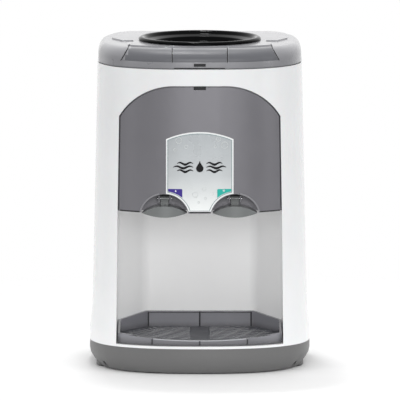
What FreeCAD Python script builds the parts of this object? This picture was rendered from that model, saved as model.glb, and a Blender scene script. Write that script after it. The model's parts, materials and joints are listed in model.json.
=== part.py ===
import FreeCAD, Part
import math
import os

# Countertop water dispenser: a tapered white housing on a grey base, a bottle seat on top,
# two press taps over a cup bay, and a drip tray that pulls out of the bay's floor.
# Millimetres, +Z up, +Y to the back. The origin is on the surface that the feet stand on,
# under the middle of the outline. A depth is a distance towards the front from the axis of
# the bottle seat, which stands SEAT_AXIS_Y in front of the origin.

# ---- driving dimensions -------------------------------------------------------------------
WIDTH = 286.0
DEPTH = 260.0
HEIGHT = 427.0
FRONT_DEPTH = 120.0
REAR_DEPTH = DEPTH - FRONT_DEPTH
SEAT_AXIS_Y = -(DEPTH / 2 - FRONT_DEPTH)
FRONT_EXPONENT = 2.5
REAR_EXPONENT = 4.0
QUARTER_STEPS = 6
ANGLE_TOLERANCE = 1e-9

WALL = 2.5
BITE = 0.8  # how far a rib or shelf runs into the wall that it is moulded to
BASE_BOTTOM = 1.5
BASE_TOP = 33.5
HOUSING_TOP = 395.2
FLARE_BOTTOM = 50.0
FLARE_TOP = 92.0
FLARE_STEPS = 6
FLARE_SIDE = 2.9
FLARE_DEPTH = 2.0
SIDE_TAPER = 0.0219
DEPTH_TAPER = 0.0125

COVER_BOTTOM = 396.5
COVER_TOP = 421.0
PLATE_TOP = 422.5
COVER_SIDE = 131.6
COVER_FRONT = 111.8
COVER_REAR = 132.0
SEAT_RADIUS = 79.5
SEAT_HOLE_RADIUS = 76.0
COLLAR_RADIUS = 87.0

BAY_FLOOR = 36.6
BAY_CEILING = 209.5
BAY_TOP_HALF = 106.0
BAY_BOTTOM_HALF = 108.0
BAY_CORNER_DEPTH = 14.0
BAY_BACK_DEPTH = -38.0
BAY_BACK_HALF = 72.0
BAY_CORNER_RADIUS = 16.0
LINER_WALL = 2.2

PANEL_BOTTOM_HALF = 104.0
PANEL_SIDE_HALF = 102.0
PANEL_ARC_X = 32.5
PANEL_ARC_Z = 292.0
PANEL_ARC_RADIUS = 80.0
PANEL_GAP = 2.0
PANEL_SKIN = 3.2
FLANGE_INSET = WALL + 0.3
FLANGE_WALL = 2.0

TAP_X = 45.3
SCALLOP_Z = 202.5
SCALLOP_RADIUS = 31.4
SCALLOP_WALL = 2.0
RECESS_DEPTH = 84.0
PIVOT_DEPTH = 92.0
PIVOT_Z = 226.0
PIN_RADIUS = 1.5
VALVE_DEPTH = 62.0
TAP_INLET_Z = 216.5
STEM_TOP = 257.5

BADGE_HALF = 43.5
BADGE_SIDE_TOP = 305.5
BADGE_TOP = 315.0
BADGE_BOTTOM = 212.0
BADGE_THICKNESS = 1.2

RESERVOIR_RADIUS = 70.0
RESERVOIR_BOTTOM = 272.0
RESERVOIR_TOP = 388.5
DECK_TOP = 386.5
DECK_THICKNESS = 3.0

TRAY_BOTTOM = 37.0
TRAY_BACK_RIM = 63.0
TRAY_FRONT_RIM = 49.0
TRAY_SCOOP = 44.3
TRAY_FRONT_DEPTH = 115.0
SUMP_BOTTOM = 24.0
SUMP_INSET = 10.0
WELL_GAP = 1.2
GRATE_TOP = 42.5

FAN_Z = 315.0
FAN_HALF = 46.0
REAR_OPENING_HALF = 98.0
REAR_OPENING_BOTTOM = 52.0
REAR_OPENING_TOP = 372.0
SOCKET_X = -35.0
SWITCH_X = 35.0
SOCKET_Z = 80.0
SOCKET_FACE = -136.6


# ---- helpers ------------------------------------------------------------------------------
def at(x, depth, z):
    """A point from its depth in front of the seat axis."""
    return FreeCAD.Vector(x, SEAT_AXIS_Y - depth, z)


def block(x0, x1, depth0, depth1, z0, z1):
    """A box between two depths."""
    return Part.makeBox(x1 - x0, depth1 - depth0, z1 - z0, at(x0, depth1, z0))


def rod(radius, start, end):
    """A round bar from one point to another."""
    run = end.sub(start)
    return Part.makeCylinder(radius, run.Length, start, run)


def pipe(outer, inner, start, end):
    """A round tube from one point to another."""
    return rod(outer, start, end).cut(rod(inner, start, end))


def fuse(shapes):
    """One solid from touching shapes."""
    return shapes[0].multiFuse(shapes[1:])


def outline_point(angle, z, side, front, rear):
    """A point on the super-ellipse, which is squarer at the back than at the front."""
    is_front = math.sin(angle) >= -ANGLE_TOLERANCE
    reach, power = (front, FRONT_EXPONENT) if is_front else (rear, REAR_EXPONENT)
    across = abs(math.cos(angle) / side) ** power
    along = abs(math.sin(angle) / reach) ** power
    radius = (across + along) ** (-1.0 / power)
    return at(radius * math.cos(angle), radius * math.sin(angle), z)


def outline(z, side, front, rear):
    """The plan outline at one height: four smooth curves that meet on the axes."""
    forward, left = at(0, 1, 0).sub(at(0, 0, 0)), FreeCAD.Vector(-1, 0, 0)
    headings = [forward, left, forward * -1, left * -1]
    edges = []
    for quarter in range(4):
        angles = [math.pi / 2 * (quarter + step / QUARTER_STEPS) for step in range(QUARTER_STEPS + 1)]
        curve = Part.BSplineCurve()
        curve.interpolate(Points=[outline_point(angle, z, side, front, rear) for angle in angles],
                          InitialTangent=headings[quarter], FinalTangent=headings[(quarter + 1) % 4])
        edges.append(curve.toShape())
    return Part.Wire(edges)


def loft(sections):
    """A solid through outlines given as (z, side, front, rear), straight between them."""
    return Part.makeLoft([outline(*section) for section in sections], True, True)


def flare(z):
    """0 under the flare, 1 over it: it starts at a crease and eases into the taper above."""
    share = min(max((z - FLARE_BOTTOM) / (FLARE_TOP - FLARE_BOTTOM), 0.0), 1.0)
    return share * (2 - share)


def housing_section(z, inset):
    """The housing's outline at one height, moved in by an inset."""
    above = max(z - FLARE_BOTTOM, 0.0)
    side = WIDTH / 2 - SIDE_TAPER * above - FLARE_SIDE * flare(z) - inset
    cut = DEPTH_TAPER * above + FLARE_DEPTH * flare(z) + inset
    return (z, side, FRONT_DEPTH - cut, REAR_DEPTH - cut)


def housing_solid(z0, z1, inset):
    """The housing's outer form between two heights, moved in by an inset."""
    flare_step = (FLARE_TOP - FLARE_BOTTOM) / FLARE_STEPS
    steps = [FLARE_BOTTOM + flare_step * step for step in range(FLARE_STEPS + 1)]
    inner = [z for z in steps if z0 + 2 < z < z1 - 2]
    return loft([housing_section(z, inset) for z in [z0] + inner + [z1]])


def housing_skin(z0, z1, outer, inner):
    """A layer of the housing between two insets."""
    return housing_solid(z0, z1, outer).cut(housing_solid(z0 - 1, z1 + 1, inner))


def rounded_wire(corners, z):
    """A closed plan outline from (x, depth, radius) corners, with tangent arcs."""
    count = len(corners)
    edges = []
    joints = []
    for index, (x, depth, radius) in enumerate(corners):
        here = at(x, depth, z)
        before = at(corners[index - 1][0], corners[index - 1][1], z).sub(here).normalize()
        after = at(corners[(index + 1) % count][0], corners[(index + 1) % count][1], z)
        after = after.sub(here).normalize()
        half = before.getAngle(after) / 2
        reach = radius / math.tan(half)
        start = here + before * reach
        end = here + after * reach
        middle = (before + after).normalize() * (radius / math.sin(half) - radius) + here
        joints.append((start, middle, end))
    for index, (start, middle, end) in enumerate(joints):
        if start.sub(end).Length > 0.01:
            edges.append(Part.Arc(start, middle, end).toShape())
        edges.append(Part.LineSegment(end, joints[(index + 1) % count][0]).toShape())
    return Part.Wire(edges)


def plan_prism(corners, z0, z1):
    """An upright prism on a rounded plan outline."""
    return Part.Face(rounded_wire(corners, z0)).extrude(FreeCAD.Vector(0, 0, z1 - z0))


def front_prism(edges):
    """A prism along Y, from the seat axis out through the front, on edges drawn at depth 0."""
    face = Part.Face(Part.Wire(edges))
    return face.extrude(FreeCAD.Vector(0, -FRONT_DEPTH - 20, 0))


def side_prism(points, x0, x1):
    """A prism along X on (depth, z) points."""
    corners = [at(x0, depth, z) for depth, z in points]
    face = Part.Face(Part.makePolygon(corners + corners[:1]))
    return face.extrude(FreeCAD.Vector(x1 - x0, 0, 0))


def turned(points):
    """A solid of revolution about the seat axis on (radius, z) points."""
    corners = [at(radius, 0, z) for radius, z in points]
    face = Part.Face(Part.makePolygon(corners + corners[:1]))
    return face.revolve(at(0, 0, 0), FreeCAD.Vector(0, 0, 1), 360)


def line(start, end):
    return Part.LineSegment(start, end).toShape()


def bent_tube(points, outer, inner, bend):
    """A tube along straight runs joined by tangent arcs."""
    edges = []
    last = points[0]
    for before, here, after in zip(points, points[1:], points[2:]):
        back = before.sub(here).normalize()
        onward = after.sub(here).normalize()
        half = back.getAngle(onward) / 2
        start = here + back * (bend / math.tan(half))
        end = here + onward * (bend / math.tan(half))
        middle = here + (back + onward).normalize() * (bend / math.sin(half) - bend)
        edges += [line(last, start), Part.Arc(start, middle, end).toShape()]
        last = end
    edges.append(line(last, points[-1]))
    path = Part.Wire(edges)
    heading = points[1].sub(points[0])
    rings = []
    for radius in (outer, inner):
        ring = Part.Wire([Part.Circle(points[0], heading, radius).toShape()])
        rings.append(path.makePipeShell([ring], True, True))
    return rings[0].cut(rings[1])


def screw(head_point, direction, length, head_radius=3.4, shank_radius=1.5):
    """A pan-head screw whose head's underside is at head_point."""
    way = FreeCAD.Vector(direction).normalize()
    head = rod(head_radius, head_point - way * 2.0, head_point)
    slot = rod(head_radius * 0.35, head_point - way * 2.0, head_point - way * 1.0)
    shank = rod(shank_radius, head_point, head_point + way * length)
    return head.cut(slot).fuse(shank)


# ---- base and feet ------------------------------------------------------------------------
BASE_PROFILE = [(BASE_BOTTOM, 12.5, 7.0), (5.5, 9.0, 4.0), (11.0, 5.0, 1.7), (17.0, 1.3, 0.4),
                (23.0, 0.0, 0.0), (BASE_TOP, 0.0, 0.0)]
FOOT_PLACES = {"foot_front_right": (119.0, 18.0), "foot_front_left": (-119.0, 18.0),
               "foot_rear_right": (85.0, -98.0), "foot_rear_left": (-85.0, -98.0)}
FOOT_WIDTH = 26.0
FOOT_LENGTH = 40.0
FOOT_CORNER = 8.0
SOCKET_WALL = 2.4
FOOT_HEIGHT = 9.5
BASE_SCREW_PLACES = [(121.0, 62.0), (-121.0, 62.0), (118.0, -75.0), (-118.0, -75.0)]


def oblong(x, depth, grow, z0, z1, round_edge):
    """An upright oblong pad round a foot's place, with a rounded lower edge."""
    half_width, half_length, radius = FOOT_WIDTH / 2 + grow, FOOT_LENGTH / 2 + grow, FOOT_CORNER + grow
    corners = [(x - half_width, depth - half_length, radius), (x + half_width, depth - half_length, radius),
               (x + half_width, depth + half_length, radius), (x - half_width, depth + half_length, radius)]
    pad = plan_prism(corners, z0, z1)
    return pad.makeFillet(round_edge, [edge for edge in pad.Edges if edge.BoundBox.ZMax < z0 + 0.01])


def foot(x, depth):
    """A rubber foot that stands a little below its socket in the base."""
    return oblong(x, depth, 0.0, 0.0, FOOT_HEIGHT, 1.2)


def base_section(z, side_inset, depth_inset, wall=0.0):
    return (z, WIDTH / 2 - side_inset - wall, FRONT_DEPTH - depth_inset - wall,
            REAR_DEPTH - depth_inset - wall)


def base_pan():
    """The grey base: a pan with foot pockets and screw bosses."""
    outside = loft([base_section(*row) for row in BASE_PROFILE])
    hollow = [(BASE_BOTTOM + WALL, 12.5, 7.0), (11.0, 5.6, 2.2), (23.0, 0.0, 0.0), (BASE_TOP + 1, 0.0, 0.0)]
    pan = outside.cut(loft([base_section(*row, wall=WALL) for row in hollow]))
    sockets = [oblong(x, depth, SOCKET_WALL, BASE_BOTTOM, FOOT_HEIGHT + WALL, 1.0)
               for x, depth in FOOT_PLACES.values()]
    bosses = [rod(5.5, at(x, depth, BASE_BOTTOM), at(x, depth, BASE_TOP)).common(outside)
              for x, depth in BASE_SCREW_PLACES]
    pan = pan.multiFuse(sockets + bosses)
    cuts = [foot(x, depth) for x, depth in FOOT_PLACES.values()]
    for x, depth in BASE_SCREW_PLACES:
        cuts.append(rod(4.2, at(x, depth, -1), at(x, depth, 12.0)))
        cuts.append(rod(1.7, at(x, depth, 0), at(x, depth, BASE_TOP + 1)))
    return pan.cut(cuts)


def base_screws():
    up = FreeCAD.Vector(0, 0, 1)
    return Part.makeCompound([screw(at(x, depth, 12.0), up, 28.0) for x, depth in BASE_SCREW_PLACES])


# ---- housing, rear cover, bay liner -------------------------------------------------------
def panel_edges(gap):
    """The tap panel's outline at depth 0, grown by a gap on its sides and top."""
    radius = PANEL_ARC_RADIUS + gap
    side = PANEL_SIDE_HALF + gap
    rise = math.sqrt(radius ** 2 - (side - PANEL_ARC_X) ** 2)
    top = PANEL_ARC_Z + radius
    middle = math.radians(90 + math.degrees(math.atan2(rise, side - PANEL_ARC_X))) / 2
    arc_x = PANEL_ARC_X + radius * math.cos(middle)
    arc_z = PANEL_ARC_Z + radius * math.sin(middle)
    low = PANEL_BOTTOM_HALF + gap
    shoulder = PANEL_ARC_Z + rise
    return [line(at(-low, 0, BAY_CEILING), at(low, 0, BAY_CEILING)),
            line(at(low, 0, BAY_CEILING), at(side, 0, shoulder)),
            Part.Arc(at(side, 0, shoulder), at(arc_x, 0, arc_z), at(PANEL_ARC_X, 0, top)).toShape(),
            line(at(PANEL_ARC_X, 0, top), at(-PANEL_ARC_X, 0, top)),
            Part.Arc(at(-PANEL_ARC_X, 0, top), at(-arc_x, 0, arc_z), at(-side, 0, shoulder)).toShape(),
            line(at(-side, 0, shoulder), at(-low, 0, BAY_CEILING))]


def bay_edges():
    """The cup bay's mouth at depth 0."""
    low = [at(-BAY_BOTTOM_HALF, 0, BAY_FLOOR), at(BAY_BOTTOM_HALF, 0, BAY_FLOOR)]
    high = [at(BAY_TOP_HALF, 0, BAY_CEILING + 0.1), at(-BAY_TOP_HALF, 0, BAY_CEILING + 0.1)]
    return [line(low[0], low[1]), line(low[1], high[0]), line(high[0], high[1]), line(high[1], low[0])]


def rear_window(margin, depth0, depth1):
    """A box through the back of the housing, larger than the rear opening by a margin."""
    half = REAR_OPENING_HALF + margin
    return block(-half, half, depth0, depth1, REAR_OPENING_BOTTOM - margin, REAR_OPENING_TOP + margin)


REAR_SCREW_PLACES = [(x, z) for x in (-92.5, 92.5) for z in (66.0, 212.0, 358.0)]


def rear_surface(x, z, inset):
    """The depth of the housing's back at a place."""
    _, side, _, rear = housing_section(z, inset)
    return -rear * (1 - abs(x / side) ** REAR_EXPONENT) ** (1 / REAR_EXPONENT)


def front_housing():
    """The white housing: one wrap-round shell, open for the panel, the bay and the rear cover."""
    shell = housing_skin(BASE_TOP, HOUSING_TOP, 0.0, WALL)
    shell = shell.cut([front_prism(panel_edges(PANEL_GAP)), front_prism(bay_edges()),
                       rear_window(0.0, -REAR_DEPTH - 5, 0)])
    frame = housing_skin(REAR_OPENING_BOTTOM - 8, REAR_OPENING_TOP + 8, WALL - BITE, 2 * WALL)
    frame = frame.common(rear_window(8.0, -REAR_DEPTH - 5, -60)).cut(rear_window(-11.0, -REAR_DEPTH - 5, 0))
    frame = frame.cut(housing_skin(REAR_OPENING_BOTTOM - 8, REAR_OPENING_TOP + 8, -1.0, WALL).common(
        rear_window(0.0, -REAR_DEPTH - 5, -60)))
    shelf = housing_skin(DECK_TOP - 2 * DECK_THICKNESS, DECK_TOP - DECK_THICKNESS, WALL - BITE, 9.0)
    tabs = []
    for x, depth in BASE_SCREW_PLACES:
        tab = block(min(x, x / abs(x) * 150) - 7 * (x > 0), max(x, x / abs(x) * 150) + 7 * (x < 0),
                    depth - 8, depth + 8, BASE_TOP, BASE_TOP + 4)
        tabs.append(tab.common(housing_solid(BASE_TOP, BASE_TOP + 6, 1.0)))
    shell = shell.multiFuse([frame, shelf] + tabs)
    holes = [rod(1.6, at(x, depth, BASE_TOP - 1), at(x, depth, BASE_TOP + 5)) for x, depth in BASE_SCREW_PLACES]
    for x, z in REAR_SCREW_PLACES:
        holes.append(rod(1.6, at(x, -REAR_DEPTH, z), at(x, -90, z)))
    return shell.cut(holes)


def rear_cover():
    """The rear cover: a flush plate with vents and a flat pad for the inlet and the switch."""
    gap = 0.4
    plate = housing_skin(REAR_OPENING_BOTTOM - 2, REAR_OPENING_TOP + 2, 0.0, WALL - 0.05)
    plate = plate.common(rear_window(-gap, -REAR_DEPTH - 5, -90))
    pad = block(-62, 62, SOCKET_FACE, SOCKET_FACE + 3.2, SOCKET_Z - 16.4, SOCKET_Z + 19)
    plate = plate.fuse(pad)
    cuts = [block(-58, 58, -REAR_DEPTH - 5, SOCKET_FACE, SOCKET_Z - 15, SOCKET_Z + 15)]
    cuts.append(block(SOCKET_X - 13.5, SOCKET_X + 13.5, -150, -120, SOCKET_Z - 10, SOCKET_Z + 10))
    cuts.append(block(SWITCH_X - 11.6, SWITCH_X + 11.6, -150, -120, SOCKET_Z - 8.9, SOCKET_Z + 8.9))
    for row in range(11):
        for side in (-1, 1):
            middle = side * 22.0
            z = FAN_Z - 40 + row * 8
            cuts.append(block(middle - 18, middle + 18, -150, -120, z - 1.8, z + 1.8))
    for row in range(8):
        for side in (-1, 1):
            middle = side * 44.0
            z = 130 + row * 9
            cuts.append(block(middle - 28, middle + 28, -150, -110, z - 1.8, z + 1.8))
    for x, z in REAR_SCREW_PLACES:
        cuts.append(rod(1.7, at(x, -REAR_DEPTH - 5, z), at(x, -90, z)))
        cuts.append(rod(3.8, at(x, -REAR_DEPTH - 5, z), at(x, rear_surface(x, z, 1.2), z)))
    return plate.cut(cuts)


def rear_cover_screws():
    inward = FreeCAD.Vector(0, -1, 0)
    made = []
    for x, z in REAR_SCREW_PLACES:
        made.append(screw(at(x, rear_surface(x, z, 1.2), z), inward, 9.0, head_radius=3.3))
    return Part.makeCompound(made)


def bay_corners(half, back_half, back_depth, corner_depth, front_depth):
    """The bay's plan outline: straight sides, slanted back corners and a flat back."""
    radius = BAY_CORNER_RADIUS
    return [(back_half, back_depth, radius), (half, corner_depth, radius), (half, front_depth, 0.0),
            (-half, front_depth, 0.0), (-half, corner_depth, radius), (-back_half, back_depth, radius)]


def bay_solid(z0, z1, grow):
    """The bay's inside, grown by a wall, a little wider at the bottom than at the top."""
    sections = []
    for z in (z0, z1):
        share = (z - BAY_FLOOR) / (BAY_CEILING - BAY_FLOOR)
        half = BAY_BOTTOM_HALF + (BAY_TOP_HALF - BAY_BOTTOM_HALF) * share + grow
        sections.append(rounded_wire(bay_corners(half, BAY_BACK_HALF + grow * 0.6, BAY_BACK_DEPTH - grow,
                                                 BAY_CORNER_DEPTH - grow * 0.4, 130.0), z))
    return Part.makeLoft(sections, True, True)


def sump_solid(grow, z0, z1):
    """The drip tray's sump with its slanted front, grown by a gap or a wall."""
    half, back_half = 92.0 + grow, 62.0 + grow
    plan = [(back_half, -30 - grow, 6), (half, 14, 6), (half, 110, 0), (-half, 110, 0),
            (-half, 14, 6), (-back_half, -30 - grow, 6)]
    slope = (100.0 - 81.0) / (TRAY_BOTTOM - SUMP_BOTTOM)
    front_low = 81.0 + grow * 1.6 + (z0 - SUMP_BOTTOM) * slope
    front_high = front_low + (z1 - z0) * slope
    wedge = side_prism([(-60, z0), (front_low, z0), (front_high, z1), (-60, z1)], -150, 150)
    return plan_prism(plan, z0, z1).common(wedge).common(housing_solid(z0 - 1, z1 + 1, SUMP_INSET - grow))


def niche_liner():
    """The white walls of the cup bay."""
    walls = bay_solid(BAY_FLOOR, BAY_CEILING, LINER_WALL).cut(bay_solid(BAY_FLOOR - 1, BAY_CEILING + 1, 0.0))
    return walls.common(housing_solid(BASE_BOTTOM, HOUSING_TOP, WALL + 0.1))


def bay_ceiling():
    """The plate over the cup bay, notched for the tap recesses and the taps."""
    plate = bay_solid(BAY_CEILING, BAY_CEILING + LINER_WALL, LINER_WALL)
    cuts = []
    for side in (-1, 1):
        x = side * TAP_X
        cuts.append(block(x - 33.6, x + 33.6, RECESS_DEPTH - 4, 130, BAY_CEILING - 1, BAY_CEILING + 4))
        cuts.append(rod(10.6, at(x, VALVE_DEPTH, BAY_CEILING - 1), at(x, VALVE_DEPTH, BAY_CEILING + 4)))
    return plate.cut(cuts).common(housing_solid(BASE_BOTTOM, HOUSING_TOP, FLANGE_INSET + FLANGE_WALL + 0.3))


def tray_well():
    """The floor of the cup bay, with a well for the drip tray's sump."""
    floor = bay_solid(BAY_FLOOR - LINER_WALL, BAY_FLOOR, LINER_WALL)
    well = sump_solid(WELL_GAP + LINER_WALL, SUMP_BOTTOM - WELL_GAP - LINER_WALL, BAY_FLOOR)
    hollow = sump_solid(WELL_GAP, SUMP_BOTTOM - WELL_GAP, BAY_FLOOR + 0.5)
    return floor.fuse(well).cut(hollow).common(housing_solid(BASE_BOTTOM, HOUSING_TOP, WALL + 0.1))


# ---- tap panel, badge, latch --------------------------------------------------------------
def scallop(radius, depth0, side):
    """A round recess in the panel's lower edge, above one lever."""
    x = side * TAP_X
    return rod(radius, at(x, depth0, SCALLOP_Z), at(x, FRONT_DEPTH + 10, SCALLOP_Z))


def tap_panel():
    """The grey panel: a skin flush with the housing and a flange behind it, scalloped for two taps."""
    z0, z1 = BAY_CEILING - 1, PANEL_ARC_Z + PANEL_ARC_RADIUS + 8
    face = housing_skin(z0, z1, 0.0, PANEL_SKIN).common(front_prism(panel_edges(0.0)))
    flange = housing_skin(z0, z1, FLANGE_INSET, FLANGE_INSET + FLANGE_WALL)
    flange = flange.common(front_prism(panel_edges(PANEL_GAP + 4)))
    top = PANEL_ARC_Z + PANEL_ARC_RADIUS
    cuts = [scallop(SCALLOP_RADIUS, RECESS_DEPTH, side) for side in (-1, 1)]
    cuts.append(block(-7.8, 7.8, 0, 140, top - 2.9, top + 3))
    return face.fuse(flange).cut(cuts)


def tap_recess(side):
    """The cup behind one scallop, with a slot for the lever's fork and ears for its pin."""
    x = side * TAP_X
    z0, z1 = BAY_CEILING - 1, PANEL_ARC_Z + PANEL_ARC_RADIUS + 8
    cup = scallop(SCALLOP_RADIUS + SCALLOP_WALL, RECESS_DEPTH - SCALLOP_WALL, side)
    cup = cup.common(housing_solid(z0, z1, FLANGE_INSET + FLANGE_WALL + 0.1))
    cup = cup.common(block(-150, 150, 0, 140, BAY_CEILING + 0.1, HEIGHT))
    cup = cup.cut([scallop(SCALLOP_RADIUS, RECESS_DEPTH, side),
                   block(x - 8, x + 8, RECESS_DEPTH - 3, RECESS_DEPTH + 1, PIVOT_Z - 5, PIVOT_Z + 6)])
    ears = [block(x + offset - 1.2, x + offset + 1.2, RECESS_DEPTH - 1, PIVOT_DEPTH + 4,
                  PIVOT_Z - 4.5, PIVOT_Z + 4.5) for offset in (-7.2, 7.2)]
    hole = rod(PIN_RADIUS + 0.05, at(x - 12, PIVOT_DEPTH, PIVOT_Z), at(x + 12, PIVOT_DEPTH, PIVOT_Z))
    return cup.multiFuse(ears).cut(hole)


def badge_edges():
    """The badge's outline at depth 0: an arched top and a foot between the two scallops."""
    radius = SCALLOP_RADIUS + 0.8
    low_side = SCALLOP_Z + math.sqrt(radius ** 2 - (TAP_X - BADGE_HALF) ** 2)
    foot_half = TAP_X - math.sqrt(radius ** 2 - (BADGE_BOTTOM - SCALLOP_Z) ** 2)
    turn = math.radians(135)
    middle_x = TAP_X + radius * math.cos(turn)
    middle_z = SCALLOP_Z + radius * math.sin(turn)
    return [line(at(-foot_half, 0, BADGE_BOTTOM), at(foot_half, 0, BADGE_BOTTOM)),
            Part.Arc(at(foot_half, 0, BADGE_BOTTOM), at(middle_x, 0, middle_z),
                     at(BADGE_HALF, 0, low_side)).toShape(),
            line(at(BADGE_HALF, 0, low_side), at(BADGE_HALF, 0, BADGE_SIDE_TOP)),
            Part.Arc(at(BADGE_HALF, 0, BADGE_SIDE_TOP), at(0, 0, BADGE_TOP),
                     at(-BADGE_HALF, 0, BADGE_SIDE_TOP)).toShape(),
            line(at(-BADGE_HALF, 0, BADGE_SIDE_TOP), at(-BADGE_HALF, 0, low_side)),
            Part.Arc(at(-BADGE_HALF, 0, low_side), at(-middle_x, 0, middle_z),
                     at(-foot_half, 0, BADGE_BOTTOM)).toShape()]


def badge_plate():
    plate = housing_skin(BADGE_BOTTOM - 5, BADGE_TOP + 5, -BADGE_THICKNESS, 0.0)
    return plate.common(front_prism(badge_edges()))


def panel_latch():
    """The dark snap tongue in the slot at the panel's top."""
    top = PANEL_ARC_Z + PANEL_ARC_RADIUS
    tongue = block(-7.6, 7.6, 100, 130, top - 2.7, top + 1.2)
    hook = block(-7.6, 7.6, 100, 108, top - 2.7, top + 5)
    return tongue.fuse(hook).common(housing_solid(top - 20, top + 10, 1.2))


# ---- taps ---------------------------------------------------------------------------------
def tap_lever(side):
    """A press lever: a lens-shaped pad, an arm up to the pivot and a fork under the valve."""
    x = side * TAP_X
    half, middle_z, rise, drop = 28.9, 209.0, 9.5, 4.6
    left, right = at(x - half, 0, middle_z), at(x + half, 0, middle_z)
    lens = Part.Face(Part.Wire([Part.Arc(left, at(x, 0, middle_z + rise), right).toShape(),
                                Part.Arc(right, at(x, 0, middle_z - drop), left).toShape()]))
    pad = lens.extrude(FreeCAD.Vector(0, -FRONT_DEPTH, 0))
    bulge = 45.0
    front = FRONT_DEPTH - 0.9
    pad = pad.common(rod(bulge, at(x, front - bulge, 190), at(x, front - bulge, 230)))
    pad = pad.common(block(x - 40, x + 40, PIVOT_DEPTH - 1.5, FRONT_DEPTH, 190, 230))
    hub_half = 5.4
    hub = rod(4.2, at(x - hub_half, PIVOT_DEPTH, PIVOT_Z), at(x + hub_half, PIVOT_DEPTH, PIVOT_Z))
    arm = block(x - 5.0, x + 5.0, PIVOT_DEPTH - 1.5, PIVOT_DEPTH + 4.0, 212.0, PIVOT_Z)
    fork = block(x - 5.4, x + 5.4, VALVE_DEPTH - 2, PIVOT_DEPTH, PIVOT_Z - 3, PIVOT_Z + 3)
    slot = block(x - 2.8, x + 2.8, VALVE_DEPTH - 3, VALVE_DEPTH + 9, PIVOT_Z - 4, PIVOT_Z + 4)
    bore = rod(PIN_RADIUS + 0.1, at(x - 8, PIVOT_DEPTH, PIVOT_Z), at(x + 8, PIVOT_DEPTH, PIVOT_Z))
    return fuse([pad, hub, arm, fork]).cut([slot, bore])


def lever_pin(side):
    x = side * TAP_X
    return rod(PIN_RADIUS, at(x - 9.5, PIVOT_DEPTH, PIVOT_Z), at(x + 9.5, PIVOT_DEPTH, PIVOT_Z))


def tap_body(side):
    """A valve chamber with its spout, its rear inlet and a yoke that guides the stem."""
    x = side * TAP_X

    def upright(radius, z0, z1):
        return rod(radius, at(x, VALVE_DEPTH, z0), at(x, VALVE_DEPTH, z1))

    body = upright(10.0, 200.0, 221.0).fuse(block(x - 16, x + 16, VALVE_DEPTH - 5, VALVE_DEPTH + 5, 212, 217))
    posts = [block(x - 16, x - 12.5, VALVE_DEPTH - 4, VALVE_DEPTH + 4, 212, 257),
             block(x + 12.5, x + 16, VALVE_DEPTH - 4, VALVE_DEPTH + 4, 212, 257),
             block(x - 16, x + 16, VALVE_DEPTH - 4, VALVE_DEPTH + 4, 253, 257)]
    inlet = rod(4.0, at(x, VALVE_DEPTH - 18, TAP_INLET_Z), at(x, VALVE_DEPTH - 5, TAP_INLET_Z))
    body = body.multiFuse(posts + [inlet])
    bore = rod(2.5, at(x, VALVE_DEPTH - 19, TAP_INLET_Z), at(x, VALVE_DEPTH, TAP_INLET_Z))
    return body.cut([upright(6.2, 207.0, 218.0), upright(4.0, 199.0, 208.0), upright(2.2, 217.0, 260.0), bore])


def valve_stem(side):
    """The stem with the collar that the lever's fork lifts."""
    x = side * TAP_X
    stem = rod(2.0, at(x, VALVE_DEPTH, 210.2), at(x, VALVE_DEPTH, STEM_TOP))
    collar = rod(4.6, at(x, VALVE_DEPTH, PIVOT_Z + 3.4), at(x, VALVE_DEPTH, PIVOT_Z + 5.4))
    return stem.fuse(collar)


def valve_seal(side):
    x = side * TAP_X
    return rod(5.4, at(x, VALVE_DEPTH, 207.1), at(x, VALVE_DEPTH, 210.2))


def valve_spring(side):
    """The spring between the stem's collar and the yoke."""
    radius, wire, turns = 3.9, 0.45, 6
    low, high = PIVOT_Z + 5.4 + wire + 0.1, 253.0 - wire - 0.1
    helix = Part.makeHelix((high - low) / turns, high - low, radius)
    helix.translate(at(side * TAP_X, VALVE_DEPTH, low))
    start = helix.Edges[0].Vertexes[0].Point
    ring = Part.Wire([Part.Circle(start, FreeCAD.Vector(0, 1, 0.13), wire).toShape()])
    return Part.Wire(helix).makePipeShell([ring], True, True)


# ---- top cover and bottle seat ------------------------------------------------------------
COVER_ROLL_HEIGHT = 15.0
COVER_ROLL_SIDE = 10.5
COVER_ROLL_FRONT = 25.5
COVER_ROLL_STEPS = 8


def cover_profile(wall=0.0, bottom=COVER_BOTTOM):
    """The cover's (z, side inset, front inset) rows: upright, then rolled in to the flat top."""
    rows = [(bottom, wall, wall)]
    for step in range(COVER_ROLL_STEPS + 1):
        turn = math.pi / 2 * step / COVER_ROLL_STEPS
        z = COVER_TOP - COVER_ROLL_HEIGHT * (1 - math.sin(turn)) - wall
        inward = 1 - math.cos(turn)
        rows.append((z, COVER_ROLL_SIDE * inward + wall, COVER_ROLL_FRONT * inward + wall))
    return rows


def cover_section(z, side_inset, front_inset):
    return (z, COVER_SIDE - side_inset, COVER_FRONT - front_inset, COVER_REAR - side_inset)


def cover_form(wall=0.0, bottom=COVER_BOTTOM):
    """The cover's outer form, moved in by a wall."""
    return loft([cover_section(*row) for row in cover_profile(wall, bottom)])


def top_plate():
    """The raised plate round the bottle seat, with a grip notch on each side."""
    half = [(93.0, 100.0), (93.0, 30.0), (86.0, 30.0), (86.0, 7.0), (101.0, 7.0),
            (114.0, -23.0), (114.0, -80.0), (98.0, -106.0)]
    corners = [(x, depth, 0.0) for x, depth in half]
    corners += [(-x, depth, 0.0) for x, depth in reversed(half)]
    plate = plan_prism(corners, COVER_TOP - 1.0, PLATE_TOP)
    inside = loft([cover_section(COVER_TOP - 2.0, 12.0, 25.5), cover_section(PLATE_TOP + 1, 14.0, 27.5)])
    return plate.common(inside)


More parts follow.
